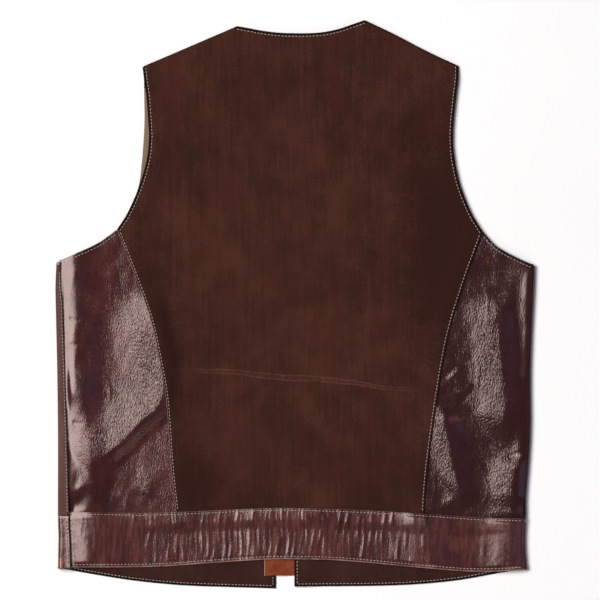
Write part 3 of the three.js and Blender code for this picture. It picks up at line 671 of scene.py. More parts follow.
class Paint:
    """One material, made from nodes."""

    def __init__(self, name):
        self.tints = bpy.context.scene.vest_leather
        self.material = bpy.data.materials.new(f"{name}_finish")
        self.material.use_nodes = True
        self.tree = self.material.node_tree
        self.tree.nodes.clear()
        self.place = self.node("ShaderNodeTexCoord").outputs["Object"]

    def node(self, kind, settings=None, values=None):
        """A node of this type, with its settings made first and then its sockets' values or links."""
        node = self.tree.nodes.new(kind)
        for key, setting in (settings or {}).items():
            if key == "stops":
                stops = node.color_ramp.elements
                while len(stops) < len(setting):
                    stops.new(1.0)
                for stop, (position, colour) in zip(stops, setting):
                    stop.position = position
                    stop.color = colour
            else:
                setattr(node, key, setting)
        for key, value in (values or {}).items():
            value = getattr(value, "socket", value)
            if isinstance(value, bpy.types.NodeSocket):
                self.tree.links.new(value, node.inputs[key])
            else:
                node.inputs[key].default_value = value
        return node

    def number(self, kind, settings=None, values=None, output=0):
        return Number(self, self.node(kind, settings, values).outputs[output])

    def vector(self, operation, first, second):
        return self.node("ShaderNodeVectorMath", {"operation": operation}, {0: first, 1: second}).outputs[0]

    def mark(self, name):
        """A number kept at the mesh's points."""
        return self.number("ShaderNodeAttribute", {"attribute_name": name}, output="Fac")

    def stretched(self, scale, turn=0.0, place=None):
        """Places with a pattern drawn out along the y axis, which is turned to the left by an angle."""
        size = tuple(1 / side for side in scale)
        values = {"Vector": place or self.place, "Scale": size, "Rotation": (0, 0, turn)}
        return self.node("ShaderNodeMapping", {"vector_type": "TEXTURE"}, values).outputs[0]

    def warped(self, place, scale, amount):
        """Places pushed about by a soft noise."""
        noise = self.node("ShaderNodeTexNoise", {}, {"Vector": place, "Scale": scale, "Detail": 2.0})
        push = self.vector("SUBTRACT", noise.outputs["Color"], (0.5, 0.5, 0.5))
        return self.vector("ADD", place, self.vector("MULTIPLY", push, (amount, amount, amount)))

    def noise(self, scale, detail=3.0, rough=0.55, place=None):
        values = {"Vector": place or self.place, "Scale": scale, "Detail": detail, "Roughness": rough}
        return self.number("ShaderNodeTexNoise", {"noise_type": "FBM"}, values)

    def cracks(self, scale, place):
        """Distance from the cracks between cells."""
        values = {"Vector": place, "Scale": scale}
        return self.number("ShaderNodeTexVoronoi", {"feature": "DISTANCE_TO_EDGE"}, values, "Distance")

    def between(self, value, low, high, first=0.0, last=1.0):
        """The value's smooth share of the way from low to high, given from first to last."""
        values = {"Value": value, "From Min": low, "From Max": high, "To Min": first, "To Max": last}
        return self.number("ShaderNodeMapRange", {"interpolation_type": "SMOOTHSTEP"}, values)

    def tint(self, colour):
        """A colour as four values, given by its values or by its name among the user's colours."""
        return (*(getattr(self.tints, colour) if isinstance(colour, str) else colour)[:3], 1)

    def ramp(self, value, stops):
        stops = [(position, self.tint(colour)) for position, colour in stops]
        return self.node("ShaderNodeValToRGB", {"stops": stops}, {"Fac": value}).outputs["Color"]

    def shades(self, value, name, low, high):
        """From the dark shade of a named colour over the colour itself to its light shade."""
        return self.ramp(value, [(low, name + "_dark"), (0.5, name), (high, name + "_light")])

    def blend(self, share, under, over):
        return self.node("ShaderNodeMix", {"data_type": "RGBA"}, {0: share, 6: under, 7: over}).outputs[2]

    def layers(self, colour, *layers):
        """Named colours laid over a colour one after another, each by its share."""
        for share, name in layers:
            colour = self.blend(share, colour, self.tint(name))
        return colour

    def spot(self, x, y, half_wide, half_high, ragged=0.35):
        """A ragged patch round a place, 1 in its middle and 0 outside."""
        moved = self.vector("SUBTRACT", self.place, (x * MM, y * MM, 0))
        shaped = self.vector("MULTIPLY", moved, (1 / (half_wide * MM), 1 / (half_high * MM), 0))
        length = self.number("ShaderNodeVectorMath", {"operation": "LENGTH"}, {0: shaped}, "Value")
        return self.between(length + (self.noise(260, 4) - 0.5) * ragged * 4, 1.1, 0.3)

    def bumps(self, height, depth, below=None):
        """A bump of this depth in millimetres, laid over another one if it is given."""
        values = {"Height": height, "Distance": depth * MM, "Strength": 1.0}
        if below is not None:
            values["Normal"] = below
        return self.node("ShaderNodeBump", {}, values).outputs["Normal"]

    def leather(self, colour, roughness, normal, **constants):
        """The shader and the output; constants are set on its own sockets."""
        values = {"Base Color": colour, "Roughness": roughness}
        if normal is not None:
            values["Normal"] = normal
        values.update({key.replace("_", " "): value for key, value in constants.items()})
        shader = self.node("ShaderNodeBsdfPrincipled", {}, values)
        self.node("ShaderNodeOutputMaterial", {}, {"Surface": shader.outputs[0]})
        return self.material


def edge_colours(paint, colour, raw_width=0.9):
    """The dark paint on cut edges, the pink of raw ones, and painted shade in the pinch beside a row of
    stitches; the painted mark also lays painted shade beside the strip, along the right seam and shoulders
    and inside the right fold.
    """
    wander = (paint.noise(420, 3) - 0.5) * 1.2
    # Dark edge paint, and painted shade where the painted mark is also set: beside the strip, along the right
    # seam and shoulders, inside the right fold
    painted = paint.between(paint.mark("painted") + wander, 2.7, 1.9)
    raw = paint.between(paint.mark("raw") + wander, raw_width, raw_width - 0.5)
    # Painted shade in the pinched groove beside a row of stitches
    seam = paint.between(abs(paint.mark("sewn")), 1.5, 0.3) * 0.6
    colour = paint.layers(colour, (seam, "paint"), (painted * 0.92, "paint"))
    return paint.blend(raw, colour, paint.shades(paint.noise(130, 4), "raw", 0.34, 0.68))


def roughout():
    """Matte brown roughout of the centre back: cloudy, faintly streaked along the hide, softly scratched,
    with painted light in its middle and painted shade towards its sides and lower corners.
    """
    paint = Paint("roughout")
    streaked = paint.warped(paint.stretched((230, 14, 60)), 0.12, 1.2)
    tone = paint.noise(9, 3, 0.55) * 0.3 + paint.noise(34, 5, 0.62) * 0.26
    tone = tone + paint.noise(1.0, 4, 0.6, streaked) * 0.18 + paint.noise(560, 3, 0.6) * 0.26
    red = paint.between(paint.noise(20, 4, 0.6, paint.stretched((1.6, 0.7, 1))), 0.5, 0.68) * 0.75
    lines = abs(paint.noise(46, 2, 0.5, paint.stretched((1, 0.35, 1), 0.5)) - 0.5)
    scratches = paint.between(lines, 0.006, 0.0) * paint.between(paint.noise(30, 3), 0.56, 0.72)
    # Painted light and shade: lighter in the middle of the centre back, darker towards its sides and lower
    # corners, as the key light falls off
    painted_light = paint.spot(-62, -150, 62, 50, 0.3) * 0.35 + paint.spot(-5, 40, 110, 190, 0.2) * 0.16
    painted_shade = paint.spot(172, 60, 72, 210, 0.25) * 0.95 + paint.spot(-160, -40, 42, 160, 0.25) * 0.7
    painted_shade = painted_shade + paint.spot(125, -190, 70, 80, 0.3) * 0.35 + paint.spot(-118, -205, 48, 70, 0.3) * 0.9
    wander = (paint.noise(70, 3) - 0.5) * 3.4 + (paint.noise(300, 4, 0.65) - 0.5) * 2.6
    from_scar = abs(paint.mark("scar") + wander)
    strength = paint.mark("scar_strength")
    past_edge = from_scar - paint.mark("scar_spread")
    broken = paint.between(paint.noise(130, 4, 0.6), 0.3, 0.56)
    scar = paint.between(abs(past_edge), 1.05, 0.1) * strength * broken
    ticks = paint.between(paint.noise(520, 2, 0.5, paint.stretched((1, 0.25, 1))), 0.5, 0.62)
    healed = paint.between(past_edge, 0.4, -0.6) * strength * (ticks * 0.22 + 0.08)
    halo = paint.between(from_scar, 5.0, 0.0) * strength
    colour = paint.layers(
        paint.shades(tone, "roughout", 0.435, 0.565), (red, "roughout_red"),
        (scratches * 0.3, "roughout_worn"), (painted_light, "roughout_light"), (painted_shade, "roughout_painted_shade"),
        (halo * 0.3, "roughout_red"), (healed, "scar"), (scar * 0.55, "scar"),
    )
    nap = paint.noise(850, 4, 0.65) * 0.6 + paint.noise(240, 3, 0.6) * 0.6
    normal = paint.bumps(nap, 0.2, paint.bumps(paint.noise(60, 4), 0.45))
    rough = paint.between(tone, 0.3, 0.7, 0.9, 0.8)
    return paint.leather(edge_colours(paint, colour), rough, normal, Specular_IOR_Level=0.05)


GLOSS = {"Specular_IOR_Level": 0.7, "Specular_Tint": (1, 0.82, 0.77, 1)}


def pebbled():
    """Glossy oxblood with a drawn pebble grain, deeper where the hide is loose; painted highlight on the
    grain's tops and painted shade in its cracks, and painted shade over the whole right side back.
    """
    paint = Paint("pebbled_leather")
    grain = paint.mark("grain")
    deep = paint.mark("deep")
    shade = 1 - (1 - grain).at_least(0)
    drawn = paint.warped(paint.stretched((1, 0.42, 1), 0.06), 18, 0.008)
    drawn = paint.warped(drawn, 150, 0.0018)
    cells = paint.between(paint.cracks(520, drawn), 0.0, 0.34)
    fine = paint.between(paint.cracks(1150, drawn), 0.0, 0.34)
    soft = paint.noise(300, 3, 0.5, drawn)
    pleated = paint.warped(paint.stretched((1, 0.2, 1), math.radians(40)), 60, 0.0025)
    combed = paint.noise(560, 2, 0.5, pleated)
    height = cells * 0.75 + fine * 0.15 + soft * 1.5
    lower = paint.bumps(paint.noise(55, 3, 0.5, drawn), 0.4)
    normal = paint.bumps(height * grain + combed * paint.mark("pleats") * 2.6, 0.11, lower)
    tone = paint.noise(17, 4, 0.6) * 0.5 + paint.noise(70, 4, 0.6, drawn) * 0.3 + paint.noise(330, 3) * 0.2
    purple = paint.between(paint.noise(13, 3, 0.5, paint.stretched((1.5, 0.7, 1))), 0.5, 0.66)
    # Painted highlight on the grain's tops and painted shade in its cracks, strongest on the flanks that face
    # the key light, and painted shade over the whole right side back
    colour = paint.layers(
        paint.shades(tone, "pebbled", 0.4, 0.6), (purple * 0.6, "pebbled_purple"),
        (paint.between(soft, 0.52, 0.66) * shade * 0.4, "pebbled_light"),
        ((1 - cells) * shade * 0.5, "pebbled_dark"), (deep * 0.95, "pebbled_dark"),
        (paint.spot(212, 48, 2.4, 7.5) * 0.26, "scuff"), (paint.spot(177, -126, 9, 4, 0.6) * 0.3, "scuff"),
    )
    rough = paint.between(paint.noise(60, 4), 0.3, 0.7, 0.13, 0.2) + (1 - cells) * shade * 0.12
    return paint.leather(edge_colours(paint, colour), rough - deep * 0.03, normal, **GLOSS)


def waistband():
    """Glossy brown, finely drawn across by the creases, with painted highlight and shade along its streaks.
    """
    paint = Paint("waistband_leather")
    drawn = paint.warped(paint.stretched((1, 0.14, 1), -0.06), 40, 0.004)
    fine = paint.noise(420, 4, 0.6, drawn)
    streaks = paint.noise(230, 4, 0.6, drawn)
    drawn_in = (fine * 0.3 + streaks) * paint.mark("grain")
    normal = paint.bumps(drawn_in, 0.5, paint.bumps(paint.noise(75, 3), 0.4))
    # The streaks that draw the creases into the bump also lighten and darken the colour along them: painted
    # highlight and shade on the creases
    tone = paint.noise(14, 4, 0.6) * 0.3 + streaks * 0.58 + paint.noise(380, 3) * 0.12
    purple = paint.between(paint.noise(16, 3, 0.5, paint.stretched((1, 0.4, 1))), 0.5, 0.66)
    colour = paint.layers(
        paint.shades(tone, "band", 0.4, 0.6), (purple * 0.5, "pebbled_purple"),
        (paint.spot(176, -265, 11, 10, 0.8) * 0.2, "scuff"),
        (paint.spot(-259, -286, 4, 10, 0.5) * 0.8, "scuff"),
    )
    rough = paint.between(paint.noise(50, 4), 0.3, 0.7, 0.18, 0.26)
    rough = rough + paint.spot(130, -240, 26, 40, 0.9) * 0.09 + paint.spot(234, -250, 16, 36, 0.9) * 0.1
    return paint.leather(edge_colours(paint, colour, 1.5), rough, normal, **GLOSS)


def plain_leather(name, shade, rough_low, rough_high, specular):
    """Matte leather of the fronts, and the flesh side of the glossy pieces."""
    paint = Paint(name)
    tone = paint.noise(15, 4, 0.6) * 0.4 + paint.noise(90, 4, 0.6, paint.stretched((1, 0.3, 1))) * 0.35
    tone = tone + paint.noise(500, 3) * 0.25
    colour = paint.shades(tone, shade, 0.34, 0.66)
    normal = paint.bumps(paint.noise(650, 4, 0.65), 0.2, paint.bumps(paint.noise(70, 4), 0.4))
    rough = paint.between(tone, 0.3, 0.7, rough_high, rough_low)
    return paint.leather(edge_colours(paint, colour), rough, normal, Specular_IOR_Level=specular)


def cut_edge(name, dark, light, roughness):
    """A cut edge, either painted or raw."""
    paint = Paint(name)
    tone = paint.noise(300, 4, 0.6) * 0.6 + paint.noise(60, 3) * 0.4
    colour = paint.ramp(tone, [(0.35, dark), (0.65, light)])
    return paint.leather(colour, roughness, paint.bumps(paint.noise(900, 3), 0.15), Specular_IOR_Level=0.4)


def twill():
    """Tan twill with its diagonal ribs."""
    paint = Paint("twill")
    turned = paint.stretched((1, 1, 1), math.radians(38))
    values = {"Vector": turned, "Scale": 265, "Distortion": 0.8, "Detail": 2.0}
    ribs = paint.number("ShaderNodeTexWave", {"wave_type": "BANDS", "bands_direction": "X"}, values, "Fac")
    threads = paint.noise(1400, 2)
    tone = ribs * 0.6 + threads * 0.25 + paint.noise(40, 3) * 0.15
    colour = edge_colours(paint, paint.ramp(tone, [(0.25, "twill_dark"), (0.7, "twill")]))
    normal = paint.bumps(ribs + threads * 0.4, 0.25)
    return paint.leather(colour, 0.92, normal, Specular_IOR_Level=0.15, Sheen_Weight=0.15)


def suede():
    """Rust suede with a brushed nap and a paler cut edge."""
    paint = Paint("suede")
    tone = paint.noise(110, 5, 0.65) * 0.55 + paint.noise(700, 4, 0.7) * 0.45
    pale = paint.between(paint.mark("raw") + (paint.noise(300, 3) - 0.5) * 1.0, 0.8, 0.2)
    colour = paint.layers(paint.shades(tone, "suede", 0.33, 0.68), (pale, "suede_edge"))
    normal = paint.bumps(paint.noise(1000, 4, 0.7), 0.3, paint.bumps(paint.noise(160, 3), 0.3))
    sheen = {"Sheen_Weight": 0.04, "Sheen_Roughness": 0.5}
    return paint.leather(colour, 0.93, normal, Specular_IOR_Level=0.06, **sheen)


def thread(name, dark, light):
    """Waxed twisted thread."""
    paint = Paint(name)
    tone = paint.noise(420, 3) * 0.6 + paint.noise(1500, 2) * 0.4
    colour = paint.ramp(tone, [(0.3, dark), (0.62, light)])
    return paint.leather(colour, 0.55, paint.bumps(paint.noise(2200, 2), 0.12), Specular_IOR_Level=0.3)


def floor_finish():
    paint = Paint("studio_floor")
    colour = paint.ramp(paint.noise(3, 2), [(0.3, (0.96, 0.97, 0.97)), (0.7, (0.98, 0.99, 0.99))])
    return paint.leather(colour, 0.9, None, Specular_IOR_Level=0.1)


def finish(name):
    """The named finish, made the first time that it is asked for."""
    makers = {
        "roughout": roughout,
        "pebbled_leather": pebbled,
        "waistband_leather": waistband,
        "front_leather": lambda: plain_leather(name, "front", 0.55, 0.68, 0.25),
        "front_inside": lambda: plain_leather(name, "inside", 0.8, 0.9, 0.06),
        "painted_edge": lambda: cut_edge(name, "paint", "paint", 0.5),
        "raw_edge": lambda: cut_edge(name, "raw", "raw_light", 0.8),
        "twill": twill,
        "suede": suede,
        "thread": lambda: thread(name, "thread_dark", "thread"),
        "dark_thread": lambda: thread(name, "dark_thread", "dark_thread"),
        "studio_floor": floor_finish,
    }
    return bpy.data.materials.get(f"{name}_finish") or makers[name]()


def plan(left, right, from_left, from_right, shares, top=None, bottom=None):
    """Places of a panel in rows between its two side edges, x and y; the end rows follow their own lines."""
    width = np.hypot(*(right - left).T)[:, None]
    near, far = from_left[-1], from_right[-1]
    first = np.repeat([from_left], len(left), axis=0)
    inner = near + np.array(shares)[None, :] * (width - near - far)
    outer = width - np.array(from_right[::-1])[None, :]
    share = np.concatenate([first, inner, outer], axis=1) / width
    x = mix(left[:, :1], right[:, :1], share)
    y = mix(left[:, 1:], right[:, 1:], share)
    climb = np.linspace(0, 1, len(left))[:, None]
    upper = (top(x[-1]) - y[-1])[None, :] if top else 0
    lower = (bottom(x[0]) - y[0])[None, :] if bottom else 0
    return x, y + upper * climb**2 + lower * (1 - climb) ** 2


def even_shares(count):
    return [(k + 1) / (count + 1) for k in range(count)]


def as_object(name, shape, finishes):
    """An object at the origin, from a finished shape and the names of its finishes."""
    for face in shape.faces:
        face.smooth = True
    mesh = bpy.data.meshes.new(name)
    shape.to_mesh(mesh)
    shape.free()
    made = bpy.data.objects.new(name, mesh)
    bpy.context.scene.collection.objects.link(made)
    for finish_name in finishes:
        mesh.materials.append(finish(finish_name))
    return made


def make_sheet(name, places, marks, thickness, finishes, kept=None, rounding=0.3):
    """A sheet of leather. A flat grid is moved to its places, and its thickness goes under it.

    places holds x, y and z by row and column, marks the numbers kept at its points, and finishes the
    names of the finishes of its face, its other side and its cut edge. Places that aren't kept are cut out.
    """
    x, y, z = np.broadcast_arrays(*places)
    rows, columns = x.shape
    shape = bmesh.new()
    bmesh.ops.create_grid(shape, x_segments=columns - 1, y_segments=rows - 1, size=1)
    layers = {key: shape.verts.layers.float.new(key) for key in marks}
    marks = {key: np.broadcast_to(value, x.shape) for key, value in marks.items()}
    lost = []
    for vertex in shape.verts:
        row = round((vertex.co.y + 1) / 2 * (rows - 1))
        column = round((vertex.co.x + 1) / 2 * (columns - 1))
        vertex.co = Vector((x[row, column], y[row, column], z[row, column])) * MM
        for key, layer in layers.items():
            vertex[layer] = marks[key][row, column]
        if kept is not None and not kept[row, column]:
            lost.append(vertex)
    if lost:
        bmesh.ops.delete(shape, geom=lost, context="VERTS")
    piece = as_object(name, shape, finishes)
    wall = piece.modifiers.new("thickness", "SOLIDIFY")
    wall.thickness = thickness * MM
    wall.offset = -1
    wall.use_even_offset = True
    wall.material_offset = 1
    wall.material_offset_rim = 2
    edge = piece.modifiers.new("rounded edges", "BEVEL")
    edge.width = rounding * MM
    edge.segments = 2
    edge.limit_method = "ANGLE"
    edge.angle_limit = math.radians(50)
    return piece


def make_threads(name, stitches, material):
    """Short rounded lengths of thread as one mesh: middle, direction, length, width and height of each."""
    shape = bmesh.new()
    for middle, direction, length, width, height in stitches:
        along = Vector(direction).normalized()
        turn = along.to_track_quat("X", "Z").to_matrix().to_4x4()
        size = Matrix.Diagonal((length / 2, width / 2, height / 2, 1))
        matrix = Matrix.Scale(MM, 4) @ (Matrix.Translation(Vector(middle)) @ turn @ size)
        bmesh.ops.create_uvsphere(shape, u_segments=8, v_segments=5, radius=1, matrix=matrix)
    bmesh.ops.recalc_face_normals(shape, faces=shape.faces)
    piece = as_object(name, shape, [material])
    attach(piece, "root")


def seam(name, line, height_at, sizes, material, seed, below):
    """A row of stitches along a line, on the upper face of what is sewn or on the face below it."""
    chance = random.Random(seed)
    steps = np.hypot(*np.diff(line, axis=0).T)
    length = np.concatenate([[0], np.cumsum(steps)])
    count = max(1, int(round(length[-1] / sizes.pitch_mm)))
    stitches = []
    at = (np.arange(count)[:, None] + [0.12, 0.88]) * length[-1] / count
    xs, ys = (np.interp(at, length, line[:, axis]) for axis in (0, 1))
    zs = height_at(xs, ys) + 0 * xs
    lift = (-1 if below else 1) * sizes.thread_mm * 0.16
    for (ax, bx), (ay, by), (az, bz) in zip(xs.tolist(), ys.tolist(), zs.tolist()):
        sway = chance.uniform(-0.08, 0.08)
        middle = ((ax + bx) / 2 + sway, (ay + by) / 2 + chance.uniform(-0.05, 0.05), (az + bz) / 2 + lift)
        direction = (bx - ax, by - ay + chance.uniform(-0.1, 0.1), bz - az)
        long = math.hypot(bx - ax, by - ay) * chance.uniform(0.94, 1.06)
        stitches.append((middle, direction, long, sizes.thread_mm, sizes.thread_mm * 0.8))
    make_threads(name, stitches, material)


def as_sheet(piece, node, flat, area, rests_on, slot):
    """Hides the solid that the piece stands for and hangs the piece under the root; the cut, area, what it
    lies on and slot are not used.
    """
    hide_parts(node)
    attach(piece, "root")
    flat[0] * MM
    flat[1] * MM


def colour(name, value, description):
    """A colour that a user may change, in linear light."""
    return FloatVectorProperty(
        name=name, description=description, default=(*value, 1), size=4, subtype="COLOR", min=0, max=1
    )


class VestLeather(bpy.types.PropertyGroup):
    """Colours of the leathers, cloths, edges and threads."""

    roughout: colour("Roughout", (0.0475, 0.0162, 0.0112), "Centre back")
    roughout_dark: colour("Roughout, dark", (0.0335, 0.0124, 0.0086), "Darker clouds of the centre back")
    # Painted shade, laid over the sides and lower corners of the centre back
    roughout_painted_shade: colour("Roughout, dim", (0.0300, 0.0105, 0.0072), "Darker sides of the centre back")
    # Also painted light, laid over the middle of the centre back
    roughout_light: colour("Roughout, light", (0.0650, 0.0232, 0.0162), "Lighter clouds of the centre back")
    roughout_red: colour("Roughout, red", (0.0530, 0.0145, 0.0115), "Redder clouds of the centre back")
    roughout_worn: colour("Roughout, worn", (0.090, 0.040, 0.029), "Light scratches of the centre back")
    scar: colour("Scar", (0.125, 0.054, 0.041), "Healed scar across the centre back")
    pebbled: colour("Pebbled", (0.054, 0.0122, 0.0118), "Side backs")
    # Also painted shade, in the grain's cracks and over the whole right side back
    pebbled_dark: colour("Pebbled, dark", (0.030, 0.0082, 0.0090), "Hollows of the side backs")
    # Also painted highlight, on the grain's tops where the flanks face the key light
    pebbled_light: colour("Pebbled, light", (0.088, 0.0220, 0.0190), "Rubbed places of the side backs")
    pebbled_purple: colour("Pebbled, purple", (0.046, 0.0125, 0.0185), "Purple clouds of the glossy leathers")
    band: colour("Waistband", (0.066, 0.0190, 0.0170), "Waistbands")
    # The waistband's dark and light streaks are partly painted shade and highlight along its creases
    band_dark: colour("Waistband, dark", (0.038, 0.0120, 0.0115), "Darker streaks of the waistbands")
    band_light: colour("Waistband, light", (0.112, 0.0345, 0.0275), "Lighter streaks of the waistbands")
    scuff: colour("Scuff", (0.23, 0.062, 0.028), "Scuffs where the dye is rubbed off")
    front: colour("Front", (0.092, 0.0335, 0.0255), "Outside of the fronts")
    front_dark: colour("Front, dark", (0.072, 0.0270, 0.0205), "Darker clouds of the fronts")
    front_light: colour("Front, light", (0.140, 0.0560, 0.0430), "Lighter clouds of the fronts")
    inside: colour("Inside", (0.0390, 0.0142, 0.0112), "Flesh side of the leathers")
    inside_dark: colour("Inside, dark", (0.024, 0.0105, 0.0088), "Darker clouds of the flesh side")
    inside_light: colour("Inside, light", (0.050, 0.0205, 0.0160), "Lighter clouds of the flesh side")
    # Also laid as painted shade beside the strip, along the right seam and shoulders, inside the right fold
    # and beside rows of stitches
    paint: colour("Edge paint", (0.0075, 0.0050, 0.0048), "Painted cut edges")
    raw: colour("Raw edge", (0.25, 0.130, 0.108), "Raw cut edges")
    raw_dark: colour("Raw edge, dark", (0.15, 0.068, 0.056), "Stained fibres of raw edges")
    raw_light: colour("Raw edge, light", (0.38, 0.205, 0.165), "Paler fibres of raw edges")
    twill: colour("Twill", (0.33, 0.225, 0.130), "Armhole lining")
    twill_dark: colour("Twill, dark", (0.15, 0.098, 0.055), "Between the twill's ribs")
    suede: colour("Suede", (0.200, 0.045, 0.0190), "Closing tab")
    suede_dark: colour("Suede, dark", (0.125, 0.028, 0.0125), "Brushed hollows of the closing tab")
    suede_light: colour("Suede, light", (0.290, 0.078, 0.036), "Brushed crests of the closing tab")
    suede_edge: colour("Suede edge", (0.50, 0.30, 0.20), "Cut edge of the closing tab")
    thread: colour("Thread", (0.62, 0.52, 0.45), "Topstitching")
    thread_dark: colour("Thread, dark", (0.34, 0.26, 0.21), "Worn topstitching")
    dark_thread: colour("Dark thread", (0.018, 0.010, 0.008), "Stitches that close the waistband's end")


class VestSewing(bpy.types.PropertyGroup):
    """Sizes of the sewing."""

    pitch: FloatProperty(
        name="Stitch length", description="From one needle hole to the next", default=0.0038,
        min=0.002, max=0.008, unit="LENGTH",
    )
    thread: FloatProperty(
        name="Thread", description="Thickness of the topstitching thread", default=0.00072,
        min=0.0004, max=0.002, unit="LENGTH",
    )
    seed: IntProperty(name="Seed", description="Changes the small unevenness of the stitches", default=7)

    @property
    def pitch_mm(self):
        return self.pitch / MM

    @property
    def thread_mm(self):
        return self.thread / MM


class VestStudio(bpy.types.PropertyGroup):
    """The picture's camera and lights."""

    height: FloatProperty(
        name="Camera height", description="Camera above the vest", default=5.0, min=1, max=10, unit="LENGTH"
    )
    key: FloatProperty(
        name="Key light", description="Power of the large light at the upper left", default=290, min=0,
        unit="POWER",
    )
    cool: FloatProperty(
        name="Cool light", description="Power of the bluish light at the right", default=3.0, min=0,
        unit="POWER",
    )
    low: FloatProperty(
        name="Low light", description="Power of the low light below the hem", default=15, min=0, unit="POWER"
    )
    surround: FloatProperty(name="Surround", description="Light from all round", default=0.06, min=0, max=2)


def edge_marks(x, y, painted=(), raw=(), sewn=()):
    """Distances from painted edges and raw edges, and from rows of stitches given as (line, distance)."""
    rows = {"painted": [(line, 0) for line in painted], "raw": [(line, 0) for line in raw], "sewn": sewn}
    return {
        mark: np.min([abs(nearest(line, x, y)[0] - away) for line, away in lines], axis=0) if lines else FAR
        for mark, lines in rows.items()
    }


def cut_of(x, y):
    """Width and height of a panel's plan, and its area in square metres."""
    ax, ay = x[1:, 1:] - x[:-1, :-1], y[1:, 1:] - y[:-1, :-1]
    bx, by = x[1:, :-1] - x[:-1, 1:], y[1:, :-1] - y[:-1, 1:]
    size = tuple(float(values.max() - values.min()) for values in (x, y))
    return size, float(abs(ax * by - ay * bx).sum() / 2) * MM * MM


def side_by_side(*parts):
    """Places of parts of a panel whose columns follow each other."""
    return tuple(np.concatenate(columns, axis=1) for columns in zip(*parts))


def rolled(x, y, z, turn):
    """A panel with more columns, which turn down round the right fold from its last one."""
    angles = turn[:, None] * np.linspace(0, 1, ROLL_COLUMNS + 1)[None, 1:]
    last_x, last_y, last_z = x[:, -1:], y[:, -1:], z[:, -1:]
    around = last_x + ROLL_RADIUS * np.sin(angles), last_y + 0 * angles
    return side_by_side((x, y, z), (*around, last_z - ROLL_RADIUS + ROLL_RADIUS * np.cos(angles)))


def fold_rows(middle_at, low, high, shares):
    """Places along a fold at these shares of the way up."""
    y = mix(low, high, np.asarray(shares))
    return np.stack([middle_at(y), y], axis=1)


def seam_rows(line, dx, shares):
    """Places at these shares of a seam's length, moved sideways to the hidden edge of its lap."""
    moved = smooth_line([(x + dx, y) for x, y in line], SEAM_STEPS)
    at = np.asarray(shares) * SEAM_STEPS
    return np.stack([np.interp(at, np.arange(SEAM_STEPS + 1), column) for column in moved.T], axis=1)


def strip_width(y):
    """How far the left front comes over the back, from the middle of its fold."""
    return np.maximum(strip_at(y) - FOLD_RADIUS, LEAST_STRIP)


def left_fold(y, wave):
    """Columns of the left fold, from the edge of the strip on the back round to the surface."""
    middle = fold_left(y)[:, None]
    over = np.array(STRIP_SHARES)[None, :]
    angles = math.pi * (1 - np.arange(FOLD_COLUMNS) / FOLD_COLUMNS)[None, :]
    inner = FOLD_RADIUS - FRONT
    x = np.concatenate([middle + strip_width(y)[:, None] * over, middle - inner * np.sin(angles)], axis=1)
    z_over = 2 * FOLD_RADIUS - FRONT + wave * over**2 * np.ones_like(middle)
    z = np.concatenate([z_over, FOLD_RADIUS - inner * np.cos(angles) + 0 * middle], axis=1)
    return x, np.repeat(y[:, None], x.shape[1], axis=1), z


def right_fold(y):
    """Columns of the right fold, from the surface up round the edge."""
    angles = (RIGHT_FRONT_TURN * np.arange(1, ROLL_COLUMNS + 1) / ROLL_COLUMNS)[None, :]
    inner = FOLD_RADIUS - FRONT
    x = fold_right(y)[:, None] + inner * np.sin(angles)
    return x, np.repeat(y[:, None], ROLL_COLUMNS, axis=1), FOLD_RADIUS - inner * np.cos(angles) + 0 * x


def strip_wave(y):
    """How the free edge of the strip stands up a little here and there."""
    return (0.16 + 0.12 * np.sin(y / 37) + 0.06 * np.sin(y / 11))[:, None]


def mark_fold(marks, x, y, left, stitched):
    """Marks where a front comes round its fold: the edge paint and stitches of the strip over the back, or
    inside the right fold its last columns, painted dark as painted shade with the edge's paint.
    """
    if not left:
        # The last columns of the right fold painted dark: painted shade where the fold turns under, with the
        # edge's paint
        marks["painted"][:, -PAINTED_SHADE_COLUMNS:] = 0
        return
    edge = np.stack([fold_left(OUTLINE_Y) + strip_width(OUTLINE_Y), OUTLINE_Y], axis=1)
    from_edge = nearest(edge, x, y)[0]
    over = np.arange(x.shape[1])[None, :] < len(STRIP_SHARES) + FOLD_COLUMNS // 2
    marks["painted"] = np.where(over, from_edge + 1.9, marks["painted"])
    marks["sewn"] = np.where(over, abs(from_edge - STRIP_STITCH) if stitched else FAR, marks["sewn"])
    marks["raw"] = np.where(over & (not stitched), abs(y - (FRONT_FOOT_SIDE - GAP)), FAR)


